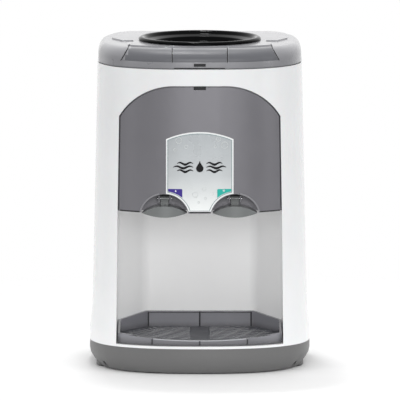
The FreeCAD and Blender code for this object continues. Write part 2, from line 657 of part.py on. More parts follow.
def top_cover():
    """The grey top cover: a shell with a rolled edge, a front fascia and a hole for the seat."""
    shell = cover_form().cut(cover_form(WALL, COVER_BOTTOM - 1))
    lip_low = COVER_BOTTOM - 7
    lip = loft([cover_section(lip_low, 2.6, 2.6), cover_section(COVER_BOTTOM + 4, 2.4, 2.4)])
    lip = lip.cut(loft([cover_section(lip_low - 1, 4.6, 4.6), cover_section(COVER_BOTTOM + 5, 4.4, 4.4)]))
    collar = rod(COLLAR_RADIUS, at(0, 0, COVER_TOP - 1), at(0, 0, PLATE_TOP))
    cover = fuse([shell, lip, top_plate(), collar])
    cuts = [rod(SEAT_HOLE_RADIUS, at(0, 0, COVER_TOP - 10), at(0, 0, HEIGHT)),
            block(-7.6, 7.6, 90, 130, 399.0, 402.8),
            block(-33, 33, 90, 130, COVER_BOTTOM - 0.5, COVER_BOTTOM + 0.9)]
    return cover.cut(cuts + fascia_grooves())


def fascia_grooves():
    """Grooves that divide the cover's front fascia."""
    sunk = cover_form(0.9, COVER_BOTTOM - 2)
    grooves = []
    for x in (-35.5, 35.5):
        grooves.append(block(x - 0.7, x + 0.7, 88, 130, 404.5, HEIGHT).cut(sunk))
    for side in (-1, 1):
        low, high = at(side * 102.0, 55, 404.5), at(side * 91.0, 55, 423.0)
        wire = Part.makePolygon([low, low + FreeCAD.Vector(1.4, 0, 0), high + FreeCAD.Vector(1.4, 0, 0), high, low])
        slanted = Part.Face(wire).extrude(FreeCAD.Vector(0, -90, 0))
        grooves.append(slanted.cut(sunk))
    return grooves


def cover_latch():
    """The dark push tab at the cover's lower front edge."""
    tab = block(-7.3, 7.3, 100, 130, 399.3, 402.5)
    return tab.common(cover_form(0.8, COVER_BOTTOM - 1))


def bottle_seat():
    """The black dished ring with a neck well for the bottle."""
    profile = [(9.0, 372.0), (29.0, 375.0), (29.0, 398.0), (33.0, 402.0), (42.0, 405.0), (45.0, 411.0),
               (57.0, 414.5), (60.0, 420.0), (68.0, 422.5), (71.5, 426.0), (73.5, HEIGHT), (76.5, HEIGHT),
               (78.6, 426.3), (SEAT_RADIUS, 424.8), (SEAT_RADIUS, PLATE_TOP + 0.3), (75.2, PLATE_TOP + 0.3),
               (74.6, 419.8), (69.5, 419.6), (62.4, 417.4), (59.4, 411.6), (47.4, 408.2), (44.4, 402.4),
               (35.4, 399.4), (31.6, 396.4), (31.6, 372.6), (9.0, 369.4)]
    return turned(profile)


def bottle_probe():
    """The hollow spike that opens the bottle's cap."""
    spike = turned([(4.4, 369.4), (8.95, 369.4), (8.95, 372.0), (7.4, 374.0), (7.0, 402.0), (2.0, 412.0),
                    (0.0, 412.0), (0.0, 406.0), (1.5, 406.0), (4.4, 400.0)])
    windows = [block(-10, 10, -1.6, 1.6, 380, 397), block(-1.6, 1.6, -10, 10, 380, 397)]
    return spike.cut(windows)


def seat_seal():
    ring = Part.makeTorus(33.2, 1.6, at(0, 0, 386.0), FreeCAD.Vector(0, 0, 1))
    return ring


# ---- reservoir ----------------------------------------------------------------------------
PORT_X = 30.0
PORT_DEPTH = 10.0
SENSOR_DEPTH = -30.0


def tank_deck():
    """The plate under the top cover that carries the reservoir."""
    plate = housing_solid(DECK_TOP - DECK_THICKNESS, DECK_TOP, WALL + 0.5)
    return plate.cut(rod(RESERVOIR_RADIUS + 0.6, at(0, 0, 370), at(0, 0, 400)))


def reservoir():
    """The open tank with a flange, a low port for cold water and a standpipe."""
    radius, wall = RESERVOIR_RADIUS, 2.0
    tank = turned([(0, RESERVOIR_BOTTOM), (radius, RESERVOIR_BOTTOM), (radius, DECK_TOP),
                   (radius + 13, DECK_TOP), (radius + 13, RESERVOIR_TOP), (radius - wall, RESERVOIR_TOP),
                   (radius - wall, RESERVOIR_BOTTOM + wall), (0, RESERVOIR_BOTTOM + wall)])
    low, top = RESERVOIR_BOTTOM - 11, 330.0
    tank = tank.multiFuse([rod(4.0, at(-PORT_X, PORT_DEPTH, low), at(-PORT_X, PORT_DEPTH, RESERVOIR_BOTTOM + 1)),
                           rod(4.0, at(PORT_X, PORT_DEPTH, low), at(PORT_X, PORT_DEPTH, top))])
    return tank.cut([rod(2.5, at(x, PORT_DEPTH, low - 1), at(x, PORT_DEPTH, top + 1)) for x in (-PORT_X, PORT_X)])


def baffle_plate():
    """The plate that keeps incoming water off the cold water below."""
    radius = RESERVOIR_RADIUS - 2.6
    disc = rod(radius, at(0, 0, 318), at(0, 0, 320))
    skirt = pipe(radius, radius - 2, at(0, 0, 310), at(0, 0, 318.5))
    holes = [rod(4.3, at(PORT_X, PORT_DEPTH, 317), at(PORT_X, PORT_DEPTH, 321))]
    for step in range(8):
        turn = math.radians(22.5 + 45 * step)
        place = (54 * math.cos(turn), 54 * math.sin(turn))
        holes.append(rod(3.0, at(*place, 317), at(*place, 321)))
    return disc.fuse(skirt).cut(holes)


def insulation():
    """The foam jacket round the reservoir, in a front and a rear half."""
    inner, outer, low, high = RESERVOIR_RADIUS + 0.3, RESERVOIR_RADIUS + 14, RESERVOIR_BOTTOM - 6.5, 378.0
    jacket = rod(outer, at(0, 0, low), at(0, 0, high))
    cuts = [rod(inner, at(0, 0, RESERVOIR_BOTTOM - 0.3), at(0, 0, high + 1)),
            block(-21, 21, -100, -60, 291, 339),
            rod(3.4, at(0, SENSOR_DEPTH, low - 1), at(0, SENSOR_DEPTH, RESERVOIR_BOTTOM + 1))]
    for x in (-PORT_X, PORT_X):
        cuts.append(rod(4.3, at(x, PORT_DEPTH, low - 1), at(x, PORT_DEPTH, RESERVOIR_BOTTOM + 1)))
    jacket = jacket.cut(cuts)
    front = jacket.common(block(-100, 100, 0.2, 100, low, high))
    rear = jacket.common(block(-100, 100, -100, 0, low, high))
    return front, rear


def water_hose(side):
    """A silicone hose from a tank port to a tap's inlet."""
    low = RESERVOIR_BOTTOM - 11
    points = [at(side * PORT_X, PORT_DEPTH, low), at(side * PORT_X, PORT_DEPTH, 238.0),
              at(side * TAP_X, PORT_DEPTH + 8, TAP_INLET_Z), at(side * TAP_X, VALVE_DEPTH - 18, TAP_INLET_Z)]
    return bent_tube(points, 4.0, 2.5, 9.0)


def temp_sensor():
    return rod(3.0, at(0, SENSOR_DEPTH, 256.0), at(0, SENSOR_DEPTH, RESERVOIR_BOTTOM - 0.05))


# ---- cooling and electrics ----------------------------------------------------------------
def cold_block():
    """The aluminium block between the tank and the cooling module."""
    blank = block(-20, 20, -88, -66, 292, 338)
    return blank.cut(rod(RESERVOIR_RADIUS + 0.1, at(0, 0, 280), at(0, 0, 350)))


def peltier_module():
    return block(-20, 20, -92, -88, 295, 335)


def heat_sink():
    """The finned heat sink."""
    pieces = [block(-45, 45, -97, -92, FAN_Z - 45, FAN_Z + 45)]
    for step in range(16):
        x = -43.5 + step * 5.8
        pieces.append(block(x - 0.8, x + 0.8, -113, -96.5, FAN_Z - 45, FAN_Z + 45))
    return fuse(pieces)


FAN_FRONT = -114.0
FAN_BACK = -127.0


def fan_frame():
    """The square fan frame with four struts to its motor plate."""
    frame = block(-FAN_HALF, FAN_HALF, FAN_BACK, FAN_FRONT, FAN_Z - FAN_HALF, FAN_Z + FAN_HALF)
    frame = frame.cut(rod(43.0, at(0, FAN_BACK - 1, FAN_Z), at(0, FAN_FRONT + 1, FAN_Z)))
    struts = [rod(14.0, at(0, FAN_BACK, FAN_Z), at(0, FAN_BACK + 2.6, FAN_Z))]
    for turn in (45, 135, 225, 315):
        bar = block(10, 44, FAN_BACK, FAN_BACK + 2.6, FAN_Z - 2, FAN_Z + 2)
        bar.rotate(at(0, 0, FAN_Z), FreeCAD.Vector(0, 1, 0), turn)
        struts.append(bar)
    holes = [rod(1.55, at(0, FAN_BACK - 1, FAN_Z), at(0, FAN_BACK + 4, FAN_Z))]
    for x in (-41, 41):
        for z in (FAN_Z - 41, FAN_Z + 41):
            holes.append(rod(2.1, at(x, FAN_BACK - 1, z), at(x, FAN_FRONT + 1, z)))
    return frame.multiFuse(struts).cut(holes)


def fan_rotor():
    """Seven pitched blades on a hub, with the shaft that runs in the motor plate."""
    hub = rod(15.0, at(0, FAN_BACK + 3.4, FAN_Z), at(0, FAN_FRONT - 1, FAN_Z))
    shaft = rod(1.5, at(0, FAN_BACK + 0.3, FAN_Z), at(0, FAN_BACK + 4, FAN_Z))
    middle = (FAN_BACK + FAN_FRONT + 2) / 2
    pieces = [hub, shaft]
    for step in range(7):
        blade = block(13, 41, middle - 5.4, middle + 5.4, FAN_Z - 0.8, FAN_Z + 0.8)
        blade.rotate(at(27, middle, FAN_Z), FreeCAD.Vector(1, 0, 0), 58)
        blade.rotate(at(0, 0, FAN_Z), FreeCAD.Vector(0, 1, 0), step * 360 / 7)
        pieces.append(blade)
    return fuse(pieces)


def fan_guard():
    """The ring guard behind the fan."""
    near, far = FAN_BACK - 1.9, FAN_BACK - 0.2
    rings = [pipe(radius, radius - 1.6, at(0, near, FAN_Z), at(0, far, FAN_Z)) for radius in (14, 24, 34, 44)]
    bars = []
    for turn in (0, 90):
        bar = block(-44, 44, near, far, FAN_Z - 1, FAN_Z + 1)
        bar.rotate(at(0, 0, FAN_Z), FreeCAD.Vector(0, 1, 0), turn)
        bars.append(bar)
    return fuse(rings + bars)


def fan_screws():
    """Four screws that hold the fan frame to the heat sink."""
    forward = FreeCAD.Vector(0, -1, 0)
    made = []
    for x in (-41, 41):
        for z in (FAN_Z - 41, FAN_Z + 41):
            made.append(screw(at(x, FAN_BACK, z), forward, 12.5, head_radius=3.0))
    return Part.makeCompound(made)


BOARD_DEPTH = -66.0


def power_board():
    """The supply board on four pillars behind the bay, with its main components."""
    pieces = [block(-62, 34, BOARD_DEPTH - 1.6, BOARD_DEPTH, 70, 150)]
    for x in (-57, 29):
        for z in (75, 145):
            pieces.append(rod(3.0, at(x, BOARD_DEPTH, z), at(x, BAY_BACK_DEPTH - LINER_WALL, z)))
    pieces.append(block(-50, -14, BOARD_DEPTH - 26, BOARD_DEPTH - 1.6, 96, 130))
    for x in (2, 18):
        pieces.append(rod(6.5, at(x, BOARD_DEPTH - 24, 120), at(x, BOARD_DEPTH - 1.6, 120)))
    pieces.append(block(-2, 22, BOARD_DEPTH - 18, BOARD_DEPTH - 1.6, 84, 92))
    return fuse(pieces)


def power_inlet():
    """A three-pin appliance inlet."""
    z, x = SOCKET_Z, SOCKET_X
    shell = block(x - 13.4, x + 13.4, -136.7, -114, z - 9.8, z + 9.8)
    flange = block(x - 20, x + 20, -138.6, SOCKET_FACE, z - 13, z + 13)
    cavity = block(x - 12, x + 12, -140, -118, z - 8, z + 8)
    pins = [block(x + step * 7 - 1, x + step * 7 + 1, -132.5, -117, z - 2 + lift, z + 2 + lift)
            for step, lift in ((-1, -2), (0, 2), (1, -2))]
    return shell.fuse(flange).cut(cavity).multiFuse(pins)


SWITCH_PIVOT = -131.5


def switch_bezel():
    """The frame that the rocker turns in."""
    z, x = SOCKET_Z, SWITCH_X
    body = block(x - 11.5, x + 11.5, -137, -121, z - 8.8, z + 8.8)
    flange = block(x - 13.5, x + 13.5, -138.4, SOCKET_FACE, z - 11, z + 11)
    cuts = [block(x - 9.1, x + 9.1, -140, -123, z - 7.1, z + 7.1),
            rod(1.25, at(x - 12, SWITCH_PIVOT, z), at(x + 12, SWITCH_PIVOT, z))]
    return body.fuse(flange).cut(cuts)


def power_switch():
    """The rocker, at rest with its upper half pressed in."""
    z, x = SOCKET_Z, SWITCH_X
    drum = rod(6.8, at(x - 8.8, SWITCH_PIVOT, z), at(x + 8.8, SWITCH_PIVOT, z))
    front = SWITCH_PIVOT - 5.2
    for tilt in (-1, 1):
        slab = block(x - 12, x + 12, front - 12, front, z - 15, z + 15)
        slab.rotate(at(x, front, z), FreeCAD.Vector(1, 0, 0), tilt * 12)
        drum = drum.cut(slab)
    pins = rod(1.2, at(x - 10.8, SWITCH_PIVOT, z), at(x + 10.8, SWITCH_PIVOT, z))
    rocker = drum.fuse(pins)
    rocker.rotate(at(x, SWITCH_PIVOT, z), FreeCAD.Vector(1, 0, 0), 10)
    return rocker


def leads():
    """The inner leads: inlet to board, board to fan, board to sensor."""
    inlet = bent_tube([at(SOCKET_X, -113.8, SOCKET_Z), at(SOCKET_X, -104, SOCKET_Z),
                       at(-24, -86, 72.5), at(-24, BOARD_DEPTH - 1.8, 72.5)], 1.6, 0.8, 4.0)
    fan = bent_tube([at(26, BOARD_DEPTH - 1.8, 140), at(26, BOARD_DEPTH - 14, 140), at(50, -92, 190),
                     at(50, -106, 240), at(50, -118, 268)], 1.6, 0.8, 4.0)
    sensor = bent_tube([at(-6, BOARD_DEPTH - 1.8, 144), at(-6, BOARD_DEPTH - 10, 144), at(-6, -76, 200),
                        at(0, SENSOR_DEPTH, 240), at(0, SENSOR_DEPTH, 255.8)], 1.4, 0.7, 5.0)
    return inlet, fan, sensor


# ---- drip tray ----------------------------------------------------------------------------
def tray_plan(inset):
    """The tray's plan corners, moved in by an inset."""
    return [(70.7 - inset * 0.6, -36.0 + inset, 5), (105.6 - inset, 13.6 + inset * 0.4, 5),
            (106.4 - inset, 130.0, 0), (-106.4 + inset, 130.0, 0),
            (-105.6 + inset, 13.6 + inset * 0.4, 5), (-70.7 + inset * 0.6, -36.0 + inset, 5)]


def tray_form(inset, z0, z1):
    """The tray's plan form between two heights, with its front parallel to the housing."""
    front = FRONT_DEPTH - TRAY_FRONT_DEPTH + inset
    return plan_prism(tray_plan(inset), z0, z1).common(housing_solid(z0 - 1, z1 + 1, front))


def drip_tray():
    """The tray: a rim that falls towards the front, a ledge for the grate and a sump."""
    bowl = tray_form(0.0, TRAY_BOTTOM, TRAY_BACK_RIM)
    bowl = bowl.cut(tray_form(3.0, TRAY_BOTTOM + 2.2, TRAY_BACK_RIM + 5))
    slope = (TRAY_FRONT_RIM - TRAY_BACK_RIM) / (100.0 + 36.0)
    end = TRAY_BACK_RIM + slope * (130.0 + 36.0)
    above = side_prism([(-36, TRAY_BACK_RIM), (130, end), (130, 90), (-60, 90), (-60, TRAY_BACK_RIM)], -150, 150)
    radius = (95.0 ** 2 + (TRAY_FRONT_RIM - TRAY_SCOOP) ** 2) / (2 * (TRAY_FRONT_RIM - TRAY_SCOOP))
    scoop = rod(radius, at(0, 96, TRAY_SCOOP + radius), at(0, 130, TRAY_SCOOP + radius))
    bowl = bowl.cut([above, scoop.common(block(-120, 120, 90, 140, 40, 60))])
    sump = sump_solid(0.0, SUMP_BOTTOM, TRAY_BOTTOM + 1.0)
    hollow = sump_solid(-2.0, SUMP_BOTTOM + 2.0, TRAY_BOTTOM + 4.0)
    return bowl.fuse(sump).cut(hollow)


def ripple_slots():
    """Concentric curved slots on both sides of the grate's plain middle strip."""
    low, high = GRATE_TOP - 4, GRATE_TOP + 2
    field = block(-96, -11, -30, 110, low, high).fuse(block(11, 96, -30, 110, low, high))
    slots = []
    for step in range(11):
        radius = 34.0 + step * 11.0
        ring = pipe(radius + 4.5, radius, at(0, -62, low), at(0, -62, high))
        slots.append(ring)
    bridges = [block(x - 1.6, x + 1.6, -60, 130, low, high) for x in (-84, -60, -36, 36, 60, 84)]
    area = plan_prism([(56, -26, 4), (94, 16, 4), (94, 104, 0), (-94, 104, 0), (-94, 16, 4), (-56, -26, 4)], low, high)
    area = area.common(housing_solid(low - 1, high + 1, FRONT_DEPTH - TRAY_FRONT_DEPTH + 10))
    cut = Part.makeCompound(slots).common(field).common(area)
    return cut.cut(bridges)


def drip_grate():
    """The lift-out grate on the tray's ledge."""
    plate = tray_form(3.7, TRAY_BOTTOM + 2.6, GRATE_TOP)
    hollow = tray_form(6.5, TRAY_BOTTOM + 1.6, GRATE_TOP - 2.2)
    return plate.cut([hollow, ripple_slots()])


# ---- write the parts ----------------------------------------------------------------------
def save(node, shape):
    """Check one sub-part and write its file."""
    if not shape.isValid() or not shape.Solids:
        raise ValueError(node + " is not a valid solid")
    shape.exportStep(os.path.join("parts", node + ".step"))
    print(node, len(shape.Solids), round(shape.Volume / 1000, 2), "cm3")


def main():
    os.makedirs("parts", exist_ok=True)
    save("base_pan", base_pan())
    for name, place in FOOT_PLACES.items():
        save(name, foot(*place))
    save("base_screws", base_screws())
    save("front_housing", front_housing())
    save("rear_cover", rear_cover())
    save("rear_cover_screws", rear_cover_screws())
    save("niche_liner", niche_liner())
    save("bay_ceiling", bay_ceiling())
    save("tray_well", tray_well())
    save("tap_panel", tap_panel())
    save("badge_plate", badge_plate())
    save("panel_latch", panel_latch())
    for name, side in (("left", -1), ("right", 1)):
        save("tap_recess_" + name, tap_recess(side))
        save("tap_lever_" + name, tap_lever(side))
        save("lever_pin_" + name, lever_pin(side))
        save("tap_body_" + name, tap_body(side))
        save("valve_stem_" + name, valve_stem(side))
        save("valve_seal_" + name, valve_seal(side))
        save("valve_spring_" + name, valve_spring(side))
    save("top_cover", top_cover())
    save("cover_latch", cover_latch())
    save("bottle_seat", bottle_seat())
    save("bottle_probe", bottle_probe())
    save("seat_seal", seat_seal())
    save("tank_deck", tank_deck())
    save("reservoir", reservoir())
    save("baffle_plate", baffle_plate())
    for name, shape in zip(("insulation_front", "insulation_rear"), insulation()):
        save(name, shape)
    save("cold_hose", water_hose(-1))
    save("natural_hose", water_hose(1))
    save("temp_sensor", temp_sensor())
    save("cold_block", cold_block())
    save("peltier_module", peltier_module())
    save("heat_sink", heat_sink())
    save("fan_frame", fan_frame())
    save("fan_rotor", fan_rotor())
    save("fan_guard", fan_guard())
    save("fan_screws", fan_screws())
    save("power_board", power_board())
    save("power_inlet", power_inlet())
    save("switch_bezel", switch_bezel())
    save("power_switch", power_switch())
    for name, shape in zip(("inlet_lead", "fan_lead", "sensor_lead"), leads()):
        save(name, shape)
    save("drip_tray", drip_tray())
    save("drip_grate", drip_grate())


main()
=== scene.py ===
import json
import math

import bmesh
import bpy
from mathutils import Matrix, Vector
from mathutils.bvhtree import BVHTree


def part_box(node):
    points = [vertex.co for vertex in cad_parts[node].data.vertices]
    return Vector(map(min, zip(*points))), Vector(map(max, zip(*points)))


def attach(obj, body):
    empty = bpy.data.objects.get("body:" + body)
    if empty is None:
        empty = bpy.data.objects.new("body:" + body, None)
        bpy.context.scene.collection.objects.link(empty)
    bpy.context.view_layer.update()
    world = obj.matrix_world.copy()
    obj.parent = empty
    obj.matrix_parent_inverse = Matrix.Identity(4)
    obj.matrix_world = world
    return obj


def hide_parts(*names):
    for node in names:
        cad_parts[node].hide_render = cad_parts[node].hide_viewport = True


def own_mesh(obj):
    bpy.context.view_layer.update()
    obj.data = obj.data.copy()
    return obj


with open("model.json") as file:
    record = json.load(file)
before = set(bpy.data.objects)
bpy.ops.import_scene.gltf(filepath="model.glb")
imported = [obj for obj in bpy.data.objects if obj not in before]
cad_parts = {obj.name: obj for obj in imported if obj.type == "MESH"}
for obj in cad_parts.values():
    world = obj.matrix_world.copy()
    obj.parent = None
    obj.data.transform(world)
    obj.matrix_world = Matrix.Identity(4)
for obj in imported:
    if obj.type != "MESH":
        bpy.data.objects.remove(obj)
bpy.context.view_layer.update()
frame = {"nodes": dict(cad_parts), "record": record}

bl_info = {
    "name": "Countertop water dispenser",
    "version": (1, 0, 0),
    "blender": (4, 5, 0),
    "location": "3D View > Sidebar > Dispenser",
    "description": "Finishes a packed countertop water dispenser with detailed pieces and materials",
    "category": "Object",
}

MM = 0.001


def linear(hex_colour):
    """An sRGB hex colour as the linear colour that Blender's nodes take."""
    made = []
    for start in (1, 3, 5):
        value = int(hex_colour[start:start + 2], 16) / 255
        made.append(value / 12.92 if value <= 0.04045 else ((value + 0.055) / 1.055) ** 2.4)
    return (*made, 1.0)


# ---- places that come from the frame ------------------------------------------------------
LEVER_LOW, LEVER_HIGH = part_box("tap_lever_right")
SEAT_LOW, SEAT_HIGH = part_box("bottle_seat")
BADGE_LOW, BADGE_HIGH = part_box("badge_plate")
PANEL_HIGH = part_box("tap_panel")[1]
TRAY_LOW, TRAY_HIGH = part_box("drip_tray")
GRATE_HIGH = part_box("drip_grate")[1]
COVER_LOW, COVER_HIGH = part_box("top_cover")

TAP_X = (LEVER_LOW.x + LEVER_HIGH.x) / 2
SEAT_AXIS = (SEAT_LOW + SEAT_HIGH) / 2
PANEL_BOTTOM = BADGE_LOW.z - 2.5 * MM
SCALLOP_Z = PANEL_BOTTOM - 7.0 * MM
SCALLOP_RADIUS = 31.4 * MM
TRAY_FRONT_FLOOR = TRAY_LOW.z + 13.4 * MM
TRAY_BACK_WALL = TRAY_HIGH.y - 3.1 * MM
BEFORE_THE_OBJECT = -0.4
WELD_DISTANCE = 0.02 * MM


# ---- what a user would change -------------------------------------------------------------
def length(name, description, millimetres):
    """A length property with its default in millimetres."""
    return bpy.props.FloatProperty(name=name, description=description, default=millimetres * MM,
                                   subtype="DISTANCE", unit="LENGTH", min=0.0, precision=5)


def tint(name, description, hex_colour):
    """A colour property with its default as sRGB hex."""
    return bpy.props.FloatVectorProperty(name=name, description=description, subtype="COLOR",
                                         size=4, min=0.0, max=1.0, default=linear(hex_colour))


class DispenserSizes(bpy.types.PropertyGroup):
    badge_border: length("Badge border", "Width of the white border round the silver label", 2.7)
    rim_width: length("Scallop rim", "Width of the raised rim round each tap recess", 1.7)
    # The panel lip is a strip of near-black painted shade along the panel's lower edge.
    edge_shade_height: length("Panel lip", "Height of the turned lip along the panel's lower edge", 1.7)
    valve_travel: length("Valve travel", "How far a pressed lever lifts its valve stem", 6.8)
    ripple_height: length("Grate ripple", "Height of the ripples on the grate", 1.5)
    rib_width: length("Tray rib", "Width of the moulded ribs on the drip tray's walls", 2.0)
    seat_round: length("Seat round", "Radius on the steps of the bottle seat", 1.6)
    lever_round: length("Lever round", "Radius on the edges of the lever pads", 1.1)


class DispenserColours(bpy.types.PropertyGroup):
    housing: tint("Housing", "Glossy white of the housing and rear cover", "#eff0f1")
    bay: tint("Bay", "Satin white of the cup bay", "#fbfbfb")
    panel: tint("Tap panel", "Satin grey of the tap panel", "#7b7a7f")
    cover: tint("Top cover", "Satin grey of the top cover", "#8c8c90")
    base: tint("Base", "Dark grey of the base", "#686868")
    lever: tint("Levers", "Grey of the lever pads", "#777a7a")
    tray: tint("Drip tray", "Smoked grey of the tray", "#b8b8bf")
    # The inlay colour is painted shade on the cover's front.
    inlay: tint("Fascia inlay", "Darker grey of the cover's front inlay", "#626368")
    grate: tint("Grate", "Dark smoked grey of the grate", "#505156")
    seat: tint("Bottle seat", "Black of the bottle seat", "#060607")
    silver: tint("Label silver", "Silver of the badge face", "#c3c7c9")
    natural: tint("Natural mark", "Purple of the left corner label", "#43358c")
    cold: tint("Cold mark", "Teal of the right corner label", "#2fb3a6")
    ink: tint("Ink", "Black ink of the emblem", "#101013")


# ---- materials ----------------------------------------------------------------------------
def node(tree, kind, inputs=None, **settings):
    """Add a node with its settings, and a value or a link for each named input."""
    made = tree.nodes.new(kind)
    for key, value in settings.items():
        setattr(made, key, value)
    for key, value in (inputs or {}).items():
        if isinstance(value, bpy.types.NodeSocket):
            tree.links.new(value, made.inputs[key])
        else:
            made.inputs[key].default_value = value
    return made


def new_material(name):
    """An empty node material, its tree and its object coordinates."""
    made = bpy.data.materials.new(name)
    made.use_nodes = True
    made.node_tree.nodes.clear()
    place = node(made.node_tree, "ShaderNodeTexCoord").outputs["Object"]
    return made, made.node_tree, place


def finish_material(made, shader):
    """Join the shader to the output, with a flat colour for solid view."""
    node(made.node_tree, "ShaderNodeOutputMaterial", {"Surface": shader.outputs[0]})
    made.diffuse_color = shader.inputs["Base Color"].default_value
    return made


def per_mm(millimetres):
    """A texture scale whose features are about this many millimetres apart."""
    return 1.0 / (millimetres * MM)


def ramp(tree, value, source, target, **settings):
    """A value moved from one range to another, held at the target's ends."""
    made = node(tree, "ShaderNodeMapRange", {"Value": value, "From Min": source[0], "From Max": source[1],
                                            "To Min": target[0], "To Max": target[1]}, **settings)
    return made.outputs["Result"]


def shaded(tree, place, colour, patch_mm, depth):
    """The colour, a little lighter and darker in soft patches of a real size."""
    patches = node(tree, "ShaderNodeTexNoise", {"Vector": place, "Scale": per_mm(patch_mm), "Detail": 3.0})
    share = ramp(tree, patches.outputs["Fac"], (0.3, 0.7), (1.0 - depth, 1.0 + depth * 0.3))
    mixed = node(tree, "ShaderNodeMix", {0: 1.0, 6: colour, 7: share},
                 data_type="RGBA", blend_type="MULTIPLY", clamp_result=True)
    return mixed.outputs[2]


def edge_wear_and_painted_light(tree, colour, edge_mm, light, amount):
    """The colour, mixed towards an edge colour where a moulded edge turns: partly wear, partly painted light,
    a highlight where the edge colour is lighter and shade where it is darker.
    """
    soft = node(tree, "ShaderNodeBevel", {"Radius": edge_mm * MM}, samples=4)
    plain = node(tree, "ShaderNodeNewGeometry")
    turn = node(tree, "ShaderNodeVectorMath", {0: soft.outputs["Normal"], 1: plain.outputs["Normal"]},
                operation="DOT_PRODUCT")
    share = ramp(tree, turn.outputs["Value"], (0.99, 0.75), (0.0, amount))
    mixed = node(tree, "ShaderNodeMix", {0: share, 6: colour, 7: light}, data_type="RGBA")
    return mixed.outputs[2]


def surface(tree, place, edge_mm, grain_mm, grain_depth, wave_mm, wave_depth):
    """A normal with rounded edges, a fine mould grain and the slow waviness of a moulded wall."""
    edge = node(tree, "ShaderNodeBevel", {"Radius": edge_mm * MM}, samples=4)
    wave = node(tree, "ShaderNodeTexNoise", {"Vector": place, "Scale": per_mm(wave_mm), "Detail": 1.0})
    slow = node(tree, "ShaderNodeBump", {"Strength": 1.0, "Distance": wave_depth * MM,
                                        "Height": wave.outputs["Fac"], "Normal": edge.outputs["Normal"]})
    grain = node(tree, "ShaderNodeTexNoise", {"Vector": place, "Scale": per_mm(grain_mm), "Detail": 2.0})
    fine = node(tree, "ShaderNodeBump", {"Strength": 1.0, "Distance": grain_depth * MM,
                                        "Height": grain.outputs["Fac"], "Normal": slow.outputs["Normal"]})
    return fine.outputs["Normal"]


def smudged(tree, place, roughness, spread, patch_mm):
    """A roughness that changes in patches, as handling and cleaning leave it."""
    patches = node(tree, "ShaderNodeTexNoise", {"Vector": place, "Scale": per_mm(patch_mm), "Detail": 4.0})
    return ramp(tree, patches.outputs["Fac"], (0.3, 0.7), (roughness - spread, roughness + spread))


def moulded(name, colour, roughness, metallic=0.0, coat=0.0, grain_mm=1.6, grain_depth=0.012,
            wave_depth=0.05, wear_and_painted_sheen="#ffffff", wear_and_painted_sheen_amount=0.15, edge_mm=0.6, extra=None):
    """An injection-moulded plastic: even colour, fine grain, soft edges that turn lighter with wear and a
    painted highlight.
    """
    made, tree, place = new_material(name)
    base = edge_wear_and_painted_light(tree, shaded(tree, place, colour, 70, 0.025), edge_mm, linear(wear_and_painted_sheen), wear_and_painted_sheen_amount)
    inputs = {"Base Color": base, "Roughness": smudged(tree, place, roughness, roughness * 0.12, 25),
              "Metallic": metallic, "IOR": 1.5, "Coat Weight": coat, "Coat Roughness": 0.08,
              "Normal": surface(tree, place, edge_mm, grain_mm, grain_depth, 45, wave_depth)}
    inputs.update(extra or {})
    return finish_material(made, node(tree, "ShaderNodeBsdfPrincipled", inputs))


def housing_abs(colours):
    # ABS, injection moulded in a polished tool: glossy white with long soft reflections.
    return moulded("abs_gloss_white", colours.housing, 0.24, coat=0.25, grain_depth=0.004, wave_depth=0.03,
                   wear_and_painted_sheen_amount=0.1, extra={"Subsurface Weight": 0.04, "Subsurface Scale": 0.002})


def bay_abs(colours):
    # The same white ABS in a satin tool, as bay liners are: it spreads the light inside the bay.
    return moulded("abs_satin_white_bay", colours.bay, 0.4, grain_depth=0.006, wave_depth=0.03,
                   wear_and_painted_sheen_amount=0.05)


def panel_abs(colours):
    # ABS with a metallic pigment, satin tool: broad soft highlights and a faint sparkle.
    return moulded("abs_satin_metallic_grey", colours.panel, 0.36, metallic=0.35, coat=0.15,
                   grain_depth=0.012, wear_and_painted_sheen="#c9c9cd", wear_and_painted_sheen_amount=0.5)


def cover_abs(colours):
    # The same pigmented ABS in a lighter batch for the top cover.
    return moulded("abs_satin_grey_cover", colours.cover, 0.3, metallic=0.1, coat=0.5,
                   grain_depth=0.01, wear_and_painted_sheen="#d6d6da", wear_and_painted_sheen_amount=0.5, edge_mm=0.9)


def base_abs(colours):
    # ABS, etched tool: a dry satin grey.
    return moulded("abs_etched_dark_grey", colours.base, 0.46, grain_mm=1.4, grain_depth=0.03,
                   wear_and_painted_sheen="#9a9a9a", wear_and_painted_sheen_amount=0.35)


def lever_abs(colours):
    # ABS, satin tool, polished a little by fingers.
    return moulded("abs_satin_lever_grey", colours.lever, 0.34, metallic=0.15, coat=0.1,
                   wear_and_painted_sheen="#c4c6c7", wear_and_painted_sheen_amount=0.45, edge_mm=0.8)


